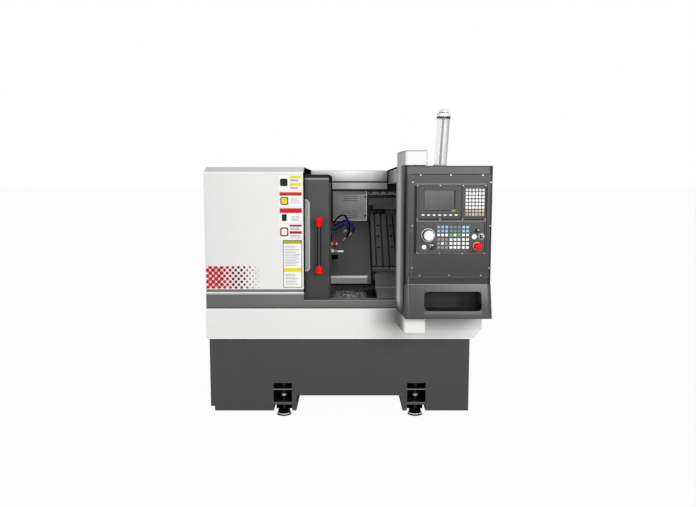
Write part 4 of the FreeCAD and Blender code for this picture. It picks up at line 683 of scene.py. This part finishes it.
def makeFloor():
    finish = Finish("paleFloor")
    grain = finish.noise(finish.place(), 3, 3)
    shade = finish.node("BsdfPrincipled", sockets={
        "Base Color": finish.mix(grain, studio["floorTone"], studio["floorCloud"]),
        "Roughness": 0.8, "Specular IOR Level": 0.1})
    plain = finish.node("Emission", sockets={"Color": (1, 1, 1, 1), "Strength": 1})
    share = finish.node("LightPath", out="Is Camera Ray") * studio["floorShine"]
    both = finish.node("MixShader", sockets={0: share, 1: shade, 2: plain})
    finish.node("OutputMaterial", sockets={"Surface": both})
    mesh = bpy.data.meshes.new("paleFloor")
    reach = studio["floorReach"]
    mesh.from_pydata([(-reach, -reach, 0), (reach, -reach, 0), (reach, reach, 0), (-reach, reach, 0)], [],
                     [(0, 1, 2, 3)])
    mesh.materials.append(finish.material)
    floor = placed("paleFloor", mesh)


def makeWorld():
    finish = Finish("paleRoom", world=True)
    direct, through, glossy = [finish.node("LightPath", out="Is %s Ray" % kind)
                               for kind in ("Camera", "Transmission", "Glossy")]
    seen = finish.maths("MAXIMUM", direct, through)
    seen = finish.maths("MAXIMUM", seen, glossy * studio["mirrored"])
    sky = finish.node("Background", sockets={"Color": (1, 1, 1, 1),
                                             "Strength": studio["ambient"] + seen * (1 - studio["ambient"])})
    finish.node("OutputWorld", sockets={"Surface": sky})
    bpy.context.scene.world = finish.material


makeFloor()
makeWorld()
print("floor and room made")


def rounded(left, right, low, high, radius, steps=4):
    outline = []
    for x, z, start in ((right - radius, low + radius, -90), (right - radius, high - radius, 0),
                        (left + radius, high - radius, 90), (left + radius, low + radius, 180)):
        for k in range(steps + 1):
            turn = radians(start + 90 * k / steps)
            outline.append((x + radius * cos(turn), z + radius * sin(turn)))
    return outline


def ring(centre, side, other, radius, steps):
    turns = [2 * pi * k / steps for k in range(steps)]
    return [centre + (side * cos(turn) + other * sin(turn)) * radius for turn in turns]


# a piece is collected as points and faces in machine millimetres
class Stock:
    def __init__(self):
        self.points = []
        self.faces = []
        self.tints = []

    def add(self, points, faces, tint=0):
        start = len(self.points)
        self.points += [tuple(point) for point in points]
        self.faces += [[start + k for k in face] for face in faces]
        self.tints += [tint] * len(faces)

    def slab(self, outline, front, back, tint=0):   # outline in x and z, front and back are depths
        n = len(outline)
        points = [(x, front, z) for x, z in outline] + [(x, back, z) for x, z in outline]
        faces = [list(range(n)), list(range(2 * n - 1, n - 1, -1))]
        faces += [[k, k + n, (k + 1) % n + n, (k + 1) % n] for k in range(n)]
        self.add(points, faces, tint)

    def block(self, left, right, low, high, front, back, corner=0, tint=0):
        outline = [(left, low), (right, low), (right, high), (left, high)]
        if corner:
            outline = rounded(left, right, low, high, corner)
        self.slab(outline, front, back, tint)

    def border(self, outer, inner, front, back, tint=0):   # two outlines with as many points
        n = len(outer)
        points = [(x, depth, z) for depth in (front, back) for loop in (outer, inner) for x, z in loop]
        faces = []
        for k in range(n):
            m = (k + 1) % n
            faces += [[k, m, n + m, n + k], [2 * n + k, 3 * n + k, 3 * n + m, 2 * n + m],
                      [k, 2 * n + k, 2 * n + m, m], [n + k, n + m, 3 * n + m, 3 * n + k]]
        self.add(points, faces, tint)

    def skin(self, points, steps, tint=0, hollow=False):   # rings of points, closed at the ends or end to end
        rows = len(points) // steps
        faces = []
        for row in range(rows if hollow else rows - 1):
            for k in range(steps):
                low, high = row * steps, (row + 1) % rows * steps
                faces.append([low + k, low + (k + 1) % steps, high + (k + 1) % steps, high + k])
        if not hollow:
            faces.append(list(range(steps - 1, -1, -1)))
            faces.append(list(range((rows - 1) * steps, rows * steps)))
        self.add(points, faces, tint)

    def turned(self, profile, centre, axis, steps=24, tint=0, hollow=False):   # profile of (along, radius)
        ahead = Vector(axis).normalized()
        side = ahead.orthogonal().normalized()
        points = []
        for along, radius in profile:
            points += ring(Vector(centre) + ahead * along, side, ahead.cross(side), max(radius, 0.01), steps)
        self.skin(points, steps, tint, hollow)

    def tube(self, line, steps=14):   # line of (centre, direction, radius)
        side = Vector((0, 1, 0))
        points = []
        for centre, ahead, radius in line:
            points += ring(centre, side, ahead.cross(side).normalized(), radius, steps)
        self.skin(points, steps)

    def piece(self, name, coatNames, body, replaced=(), edge=0, angle=35):
        mesh = bpy.data.meshes.new(name)
        mesh.from_pydata([spot(*point) for point in self.points], [], self.faces)
        for coat in coatNames:
            mesh.materials.append(finishes[coat])
        for face, tint in zip(mesh.polygons, self.tints):
            face.material_index = tint
        work = bmesh.new()
        work.from_mesh(mesh)
        bmesh.ops.recalc_face_normals(work, faces=work.faces)
        work.to_mesh(mesh)
        work.free()
        mesh.shade_smooth()
        mesh.set_sharp_from_angle(angle=radians(angle))
        made = placed(name, mesh)
        if edge:
            rounding = made.modifiers.new("softEdge", "BEVEL")
            rounding.width = edge / 1000
            rounding.segments = 2
            rounding.limit_method = "ANGLE"
        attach(made, body)
        if replaced:
            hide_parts(*replaced)
        return made


# the same routes as the solids, one smooth line each

hoses = {
    "start": -83,      # x of the unions on the manifold
    "beadShape": ((0, 6.8), (0.08, 7.1), (0.2, 8.5), (0.3, 9), (0.7, 9), (0.8, 8.5), (0.92, 7.1)),
    "upper": {"depth": 560, "beads": 12,
              "route": [(0, 1196), (48, 1216), (84, 1238), (122, 1226), (148, 1192), (148, 1164),
                        (134, 1148)]},
    "lower": {"depth": 535, "beads": 9,
              "route": [(0, 1163), (44, 1186), (92, 1217), (116, 1186.5), (98, 1171)]},
    "line": {"depth": 584, "radius": 6, "steps": 48,
             "route": [(0, 1210), (28, 1246), (66, 1275), (96, 1262), (122, 1196), (116, 1140), (92, 1113)]},
}


def smoothLine(route, depth):
    curve = bpy.data.curves.new("hoseLine", "CURVE")
    curve.dimensions = "3D"
    spline = curve.splines.new("NURBS")
    spline.points.add(len(route) - 1)
    for point, (x, z) in zip(spline.points, route):
        point.co = (hoses["start"] + x, depth, z, 1)
    spline.order_u = 3
    spline.use_endpoint_u = True
    spline.resolution_u = 16
    carrier = bpy.data.objects.new("hoseLine", curve)
    mesh = bpy.data.meshes.new_from_object(carrier)
    line = [vertex.co.copy() for vertex in mesh.vertices]
    bpy.data.objects.remove(carrier)
    bpy.data.curves.remove(curve)
    bpy.data.meshes.remove(mesh)
    return line


def walk(line, share):   # point and direction at a share of the line's length
    steps = [(b - a).length for a, b in zip(line, line[1:])]
    left = share * sum(steps)
    for a, b, step in zip(line, line[1:], steps):
        if left <= step or b is line[-1]:
            return a + (b - a) * min(left / step, 1), (b - a).normalized()
        left -= step


def makeHoses():
    stock = Stock()
    for key in ("upper", "lower"):
        line = smoothLine(hoses[key]["route"], hoses[key]["depth"])
        beads = hoses[key]["beads"]
        rings = [(*walk(line, (k + share) / beads), radius)
                 for k in range(beads) for share, radius in hoses["beadShape"]]
        rings.append((*walk(line, 1), hoses["beadShape"][0][1]))
        stock.tube(rings)
    stock.piece("beadedHoses", ["hoseBlue"], "machine", ["coolant_hoses"], angle=50)
    stock = Stock()
    thin = hoses["line"]
    line = smoothLine(thin["route"], thin["depth"])
    stock.tube([(*walk(line, k / thin["steps"]), thin["radius"]) for k in range(thin["steps"] + 1)])
    stock.piece("thinHose", ["sealBlack"], "machine", ["coolant_line"], angle=60)


makeHoses()
print("hoses made")


dots = {
    "left": -856, "low": 846.5, "rows": 8, "columns": 19, "across": 17.6, "up": 18.2,
    "merged": 6, "large": 12.3,                # columns whose dots touch, and their radius
    "apart": 10.2, "fall": 0.28,               # radius past those, and what each column takes off
    "late": 12, "end": 0.7,                    # the column after which they shrink faster
    "darker": (4, 9, 14),                      # columns where each darker finish starts
    "cut": 6.5, "thick": 0.3, "sink": 0.05, "sides": 20, "clear": 0.995,
}


def makeDots():
    stock = Stock()
    top = dots["low"] + (dots["rows"] - 1) * dots["up"] + dots["cut"]
    for row in range(dots["rows"]):
        for column in range(dots["columns"]):
            if (row + column) % 2:
                continue
            x = dots["left"] + (column + 0.5) * dots["across"]
            z = dots["low"] + row * dots["up"]
            past = column - dots["merged"]
            radius = dots["apart"] - dots["fall"] * past - dots["end"] * max(0, column - dots["late"])
            if past < 0:
                radius = dots["large"]
            outline = []
            for k in range(dots["sides"]):
                turn = 2 * pi * k / dots["sides"]
                cell = 1 / (abs(cos(turn)) / dots["across"] + abs(sin(turn)) / dots["up"])
                reach = min(radius, cell * dots["clear"])
                height = max(dots["low"] - dots["cut"], min(z + reach * sin(turn), top))
                outline.append((max(x + reach * cos(turn), dots["left"]), height))
            tint = sum(column >= start for start in dots["darker"])
            stock.slab(outline, -dots["thick"], dots["sink"], tint)
    stock.piece("dotFade", ["dotRed", "fieldMaroon", "dotDark", "dotDusk"], "machine")


makeDots()
print("dot fade made")


# plain fields on the white front, no lettering and no signs

labels = {
    "front": 0, "thick": 0.35, "lift": 0.15, "sink": 0.02, "seed": 5,
    "ruleHalf": 1.3, "ruleLift": 0.51, "ragged": 0.3,
    "sheets": [   # left, right, low, high, corner, finish
        (-397, -257, 1448, 1539, 3, "fieldWhite"), (-397, -257, 1350, 1438, 3, "fieldWhite"),
        (-397, -257, 1248, 1341, 3, "fieldWhite"), (-397, -257, 1146, 1239, 3, "fieldWhite"),
        (-377, -259, 847, 1143, 7, "fieldOutline"),
    ],
    "fields": [
        (-333, -260, 1522, 1537, 1, "fieldYellow"), (-333, -260, 1476, 1493, 1, "fieldYellow"),
        (-391, -345, 1474, 1520, 9, "fieldDark"),
        (-395, -259, 1416, 1437, 1, "fieldOrange"), (-390, -342, 1360, 1407, 9, "fieldDark"),
        (-384, -348, 1366, 1401, 7, "fieldYellow"),
        (-395, -259, 1310, 1339, 1, "fieldRed"), (-382, -352, 1260, 1303, 6, "fieldDark"),
        (-335, -260, 1226, 1238, 1, "fieldMaroon"), (-335, -260, 1182, 1198, 1, "fieldMaroon"),
        (-394, -342, 1166, 1222, 12, "fieldMaroon"), (-385, -351, 1175, 1213, 8, "fieldWhite"),
        (-373, -263, 851, 1139, 5, "fieldWhite"),
        (-373, -263, 1120, 1139, 2, "fieldOlive"), (-373, -263, 945, 969, 1, "fieldYellow"),
    ],
    "rules": [   # left, right, low, high, how many
        (-330, -264, 1503, 1516, 3), (-330, -264, 1456, 1470, 3), (-332, -266, 1366, 1402, 3),
        (-322, -268, 1258, 1292, 4), (-330, -264, 1206, 1220, 3), (-330, -264, 1152, 1176, 3),
        (-366, -272, 980, 1110, 13), (-362, -280, 862, 934, 8),
    ],
}


def makeLabels():
    stock = Stock()
    names = []

    def tint(name):
        if name not in names:
            names.append(name)
        return names.index(name)

    front = labels["front"] - labels["thick"]
    for left, right, low, high, corner, finish in labels["sheets"]:
        stock.block(left, right, low, high, front, labels["front"] - labels["sink"], corner,
                    tint(finish))
    for count, (left, right, low, high, corner, finish) in enumerate(labels["fields"]):
        lift = labels["lift"] * (1 + (finish in ("fieldWhite", "fieldYellow", "fieldOlive")) + (count > 12))
        stock.block(left, right, low, high, front - lift, front, corner, tint(finish))
    draw = random.Random(labels["seed"])
    for left, right, low, high, many in labels["rules"]:
        for k in range(many):
            z = low + (k + 0.5) * (high - low) / many
            end = right - draw.random() * (right - left) * labels["ragged"]
            stock.block(left, end, z - labels["ruleHalf"], z + labels["ruleHalf"],
                        front - labels["ruleLift"], front, tint=tint("fieldRule"))
    stock.piece("labelFields", names, "machine")


makeLabels()
print("label fields made")


panel = {"face": -288, "crown": -292, "sink": 0.3}   # depths of the panel's face and of its keys

keyBlocks = {   # rows from the top, a digit for each key's finish, a gap after every third key
    "operatorKeys": {
        "rows": ("22244433", "22244433", "00050500", "11100000", "10100000", "11100000"),
        "finishes": ["keyWhite", "keyGrey", "keySky", "keyAqua", "keyMoss", "keyGreen"],
        "x": 543.4, "z": 1125.1, "pitch": 22.7, "rise": 22.7, "gap": 3.2, "wide": 16.2, "high": 14.4,
        "round": 2.2, "edge": 1.2,
    },
    "letterKeys": {
        "rows": ("222222", *["000000"] * 5, "111111", "111111"),
        "finishes": ["keyWhite", "keySand", "keyAsh"],
        "x": 701, "z": 1314, "pitch": 18.8, "rise": 19.8, "gap": 0, "wide": 14.2, "high": 15.2,
        "round": 4.2, "edge": 1.2,
    },
    "softKeys": {
        "rows": ("0000000",), "finishes": ["keyWhite"],
        "x": 453.5, "z": 1310.5, "pitch": 31.3, "rise": 0, "gap": 0, "wide": 16, "high": 8,
        "round": 2.2, "edge": 1,
    },
}


def makeKeys():
    for name, keys in keyBlocks.items():
        wide, high = keys["wide"] / 2, keys["high"] / 2
        stock = Stock()
        for column in range(len(keys["rows"][0])):
            for row, digits in enumerate(reversed(keys["rows"])):
                x = keys["x"] + column * keys["pitch"] + column // 3 * keys["gap"]
                z = keys["z"] + row * keys["rise"] + row // 3 * keys["gap"]
                stock.block(x - wide, x + wide, z - high, z + high, panel["crown"],
                            panel["face"] + panel["sink"], keys["round"], int(digits[column]))
        stock.piece(name, keys["finishes"], "control", edge=keys["edge"])


screen = {
    "opening": (460, 630, 1337, 1451, 3.5),    # left, right, low, high, corner
    "outer": (458, 635, 1334, 1454, 4),
    "front": 1.6, "back": 0.8,                        # before and behind the panel's face
    "tag": {"left": 617, "right": 638, "low": 1330.5, "high": 1341, "front": -290.1, "back": -287.5,
            "corner": 1.5},
}


def makeScreenParts():
    stock = Stock()
    stock.border(rounded(*screen["outer"]), rounded(*screen["opening"]), panel["face"] - screen["front"],
                 panel["face"] + screen["back"])
    stock.piece("screenBezel", ["blackPlastic"], "control", edge=0.7)
    stock = Stock()
    stock.block(**screen["tag"])
    stock.piece("screenTag", ["fieldOlive"], "control", edge=0.3)


dial = {"x": 482.5, "z": 1196, "radius": 38, "step": 7, "rim": 0.6, "scale": 3.6, "bore": 29.4,
        "rimRise": 0.25, "scaleRise": 0.2, "markRise": 0.4, "marks": 50, "long": 4.2, "short": 2.8,
        "half": 0.35, "sides": 48}


def makeDial():
    middle, radius = Vector((dial["x"], dial["z"])), dial["radius"]
    seat = panel["face"] - dial["step"]     # front of the dial's step
    loops = [ring(middle, Vector((1, 0)), Vector((0, 1)), reach, dial["sides"])
             for reach in (radius + dial["rim"], radius - dial["scale"], dial["bore"])]
    stock = Stock()
    stock.border(loops[0], loops[1], seat - dial["rimRise"], panel["face"] + 0.5, 0)
    stock.border(loops[1], loops[2], seat - dial["scaleRise"], seat + 0.4, 1)
    for k in range(dial["marks"]):
        turn = 2 * pi * k / dial["marks"]
        reach = radius - (dial["short"] if k % 5 else dial["long"])
        across = Vector((-sin(turn), cos(turn))) * dial["half"]
        ray = Vector((cos(turn), sin(turn)))
        inside, outside = middle + ray * reach, middle + ray * (radius - dial["rim"])
        stock.slab([inside - across, outside - across, outside + across, inside + across],
                   seat - dial["markRise"], seat, 1)
    stock.piece("dialScale", ["whitePlastic", "blackPlastic"], "control")


collar = {"x": 763, "z": 1133, "lift": 0.2, "steps": 40,
          "profile": [(0, 14.6), (0, 23.4), (7, 23.4), (9.3, 20.4), (9.3, 15)]}   # along, radius


def makeCollar():
    stock = Stock()
    stock.turned(collar["profile"], (collar["x"], panel["face"] + collar["lift"], collar["z"]), (0, -1, 0),
                 collar["steps"], hollow=True)
    stock.piece("stopCollar", ["collarYellow"], "control")


makeKeys()
makeScreenParts()
makeDial()
makeCollar()
print("panel parts made")


swarf = {
    "left": -60, "right": 128, "near": 92, "far": 412, "floor": 750, "seed": 11,
    "curls": 150, "scatter": 4, "tilt": 0.5, "radius": (3, 7), "wide": (2, 4), "turns": (0.6, 2.2),
    "pitch": (3, 9), "thick": 0.5,
    "columns": 30, "rows": 36, "beyondX": 20, "beyondY": 14, "heap": 3.5, "rough": 4.5, "rim": 3,
    "waveX": 0.031, "waveY": 0.043,
}


def makeSwarf():
    draw = random.Random(swarf["seed"])
    floor, left, right, near, back = [swarf[key] for key in ("floor", "left", "right", "near", "far")]
    stock = Stock()
    for curl in range(swarf["curls"]):
        x = draw.uniform(left, right)
        y = draw.uniform(near, back)
        z = floor + 3 + draw.random() ** 2 * swarf["scatter"]
        spin = Matrix.Rotation(draw.uniform(0, 6.28), 3, "Z")
        spin = spin @ Matrix.Rotation(draw.uniform(-swarf["tilt"], swarf["tilt"]), 3, "X")
        radius, wide, turns, pitch = [draw.uniform(*swarf[key])
                                      for key in ("radius", "wide", "turns", "pitch")]
        count = int(8 * turns) + 4
        points, faces = [], []
        for j in range(count):
            angle = 6.28 * turns * j / count
            along = pitch * turns * j / count
            for side in (0, 1):
                for skin in (0, swarf["thick"]):
                    local = Vector((along + side * wide, (radius - skin) * cos(angle),
                                    (radius - skin) * sin(angle)))
                    points.append(Vector((x, y, z)) + spin @ local)
        for a in range(0, 4 * count - 4, 4):
            b = a + 4
            faces += [[a, a + 2, b + 2, b], [a + 1, b + 1, b + 3, a + 3], [a, b, b + 1, a + 1],
                      [a + 2, a + 3, b + 3, b + 2]]
        faces += [[0, 1, 3, 2], [count * 4 - 4, count * 4 - 2, count * 4 - 1, count * 4 - 3]]
        drop = max(0, floor + 0.2 - min(point.z for point in points))   # none sinks into the tray
        stock.add([point + Vector((0, 0, drop)) for point in points], faces)
    stock.piece("trayCurls", ["swarf"], "machine", angle=50)
    columns, rows = swarf["columns"], swarf["rows"]
    points, faces = [], []
    for row in range(rows + 1):
        for column in range(columns + 1):
            x = left - swarf["beyondX"] + (right - left + 2 * swarf["beyondX"]) * column / columns
            y = near - swarf["beyondY"] + (back - near + 2 * swarf["beyondY"]) * row / rows
            rim = min(row, rows - row, column, columns - column) / swarf["rim"]
            wave = sin(x * swarf["waveX"]) * sin(y * swarf["waveY"] + 1)
            heap = (wave + 1.2) * swarf["heap"]
            points.append((x, y, floor + 0.1 + (heap + draw.random() * swarf["rough"]) * min(rim, 1)))
    wide = columns + 1
    for row in range(rows):
        for column in range(columns):
            k = row * wide + column
            faces.append([k, k + 1, k + wide + 1, k + wide])
    stock = Stock()
    stock.add(points, faces)
    stock.piece("swarfBed", ["swarf"], "machine", angle=20)


makeSwarf()
print("swarf made")


doorStrip = {"left": -715.7, "right": -93.3, "low": 1512, "high": 1524.5, "front": 37.2, "back": 38,
             "corner": 1.5}
flange = {
    "plate": {"left": 178, "right": 397, "low": 1407.2, "high": 1431, "front": 868, "back": 871,
              "corner": 3},
    "bolts": (193, 264, 316, 383), "boltHigh": 1424.5,
    "boltProfile": [(0, 6.5), (4, 6.5), (5, 5.5), (5, 3), (2, 3), (2, 0)],   # along, radius
}
# black strips in the gap at the left cover's right edge and along its roof edge, standing in for the shade
# there
gapShadowStrips = (
    {"left": -250, "right": -242, "low": 818, "high": 1556, "front": 4, "back": 33},
    {"left": -250, "right": -249.2, "low": 1559, "high": 1590, "front": 92, "back": 883},
)
# black sheets in the pad bays, standing in for the shade behind the pads
bayShadowSheets = {"sides": ((-450, -330), (400, 520)), "low": 5, "high": 100, "front": 190,
             "back": 192, "turn": 8}


def makeTrims():
    stock = Stock()
    stock.block(**doorStrip)
    stock.piece("doorTopStrip", ["stripAlloy"], "door", edge=0.3)
    stock = Stock()
    stock.block(**flange["plate"])
    for x in flange["bolts"]:
        seat = (x, flange["plate"]["front"], flange["boltHigh"])
        stock.turned(flange["boltProfile"], seat, (0, -1, 0), 16, 1)
    stock.piece("driveFlange", ["flangeGrey", "sealBlack"], "carriage", edge=0.4)
    stock = Stock()
    for shadowStrip in gapShadowStrips:
        stock.block(**shadowStrip)
    stock.piece("gapShadowStrip", ["sealBlack"], "machine", edge=0.3)
    low, front, back = bayShadowSheets["low"], bayShadowSheets["front"], bayShadowSheets["back"]
    stock = Stock()
    for left, right in bayShadowSheets["sides"]:   # a black sheet with its lower edge turned back, standing in for the shade behind the pads
        stock.block(left, right, low, bayShadowSheets["high"], front, back)
        stock.block(left, right, low, low + back - front, back, back + bayShadowSheets["turn"])
    stock.piece("bayShadowSheets", ["sealBlack"], "machine", edge=0.3)


makeTrims()
print("trims made")
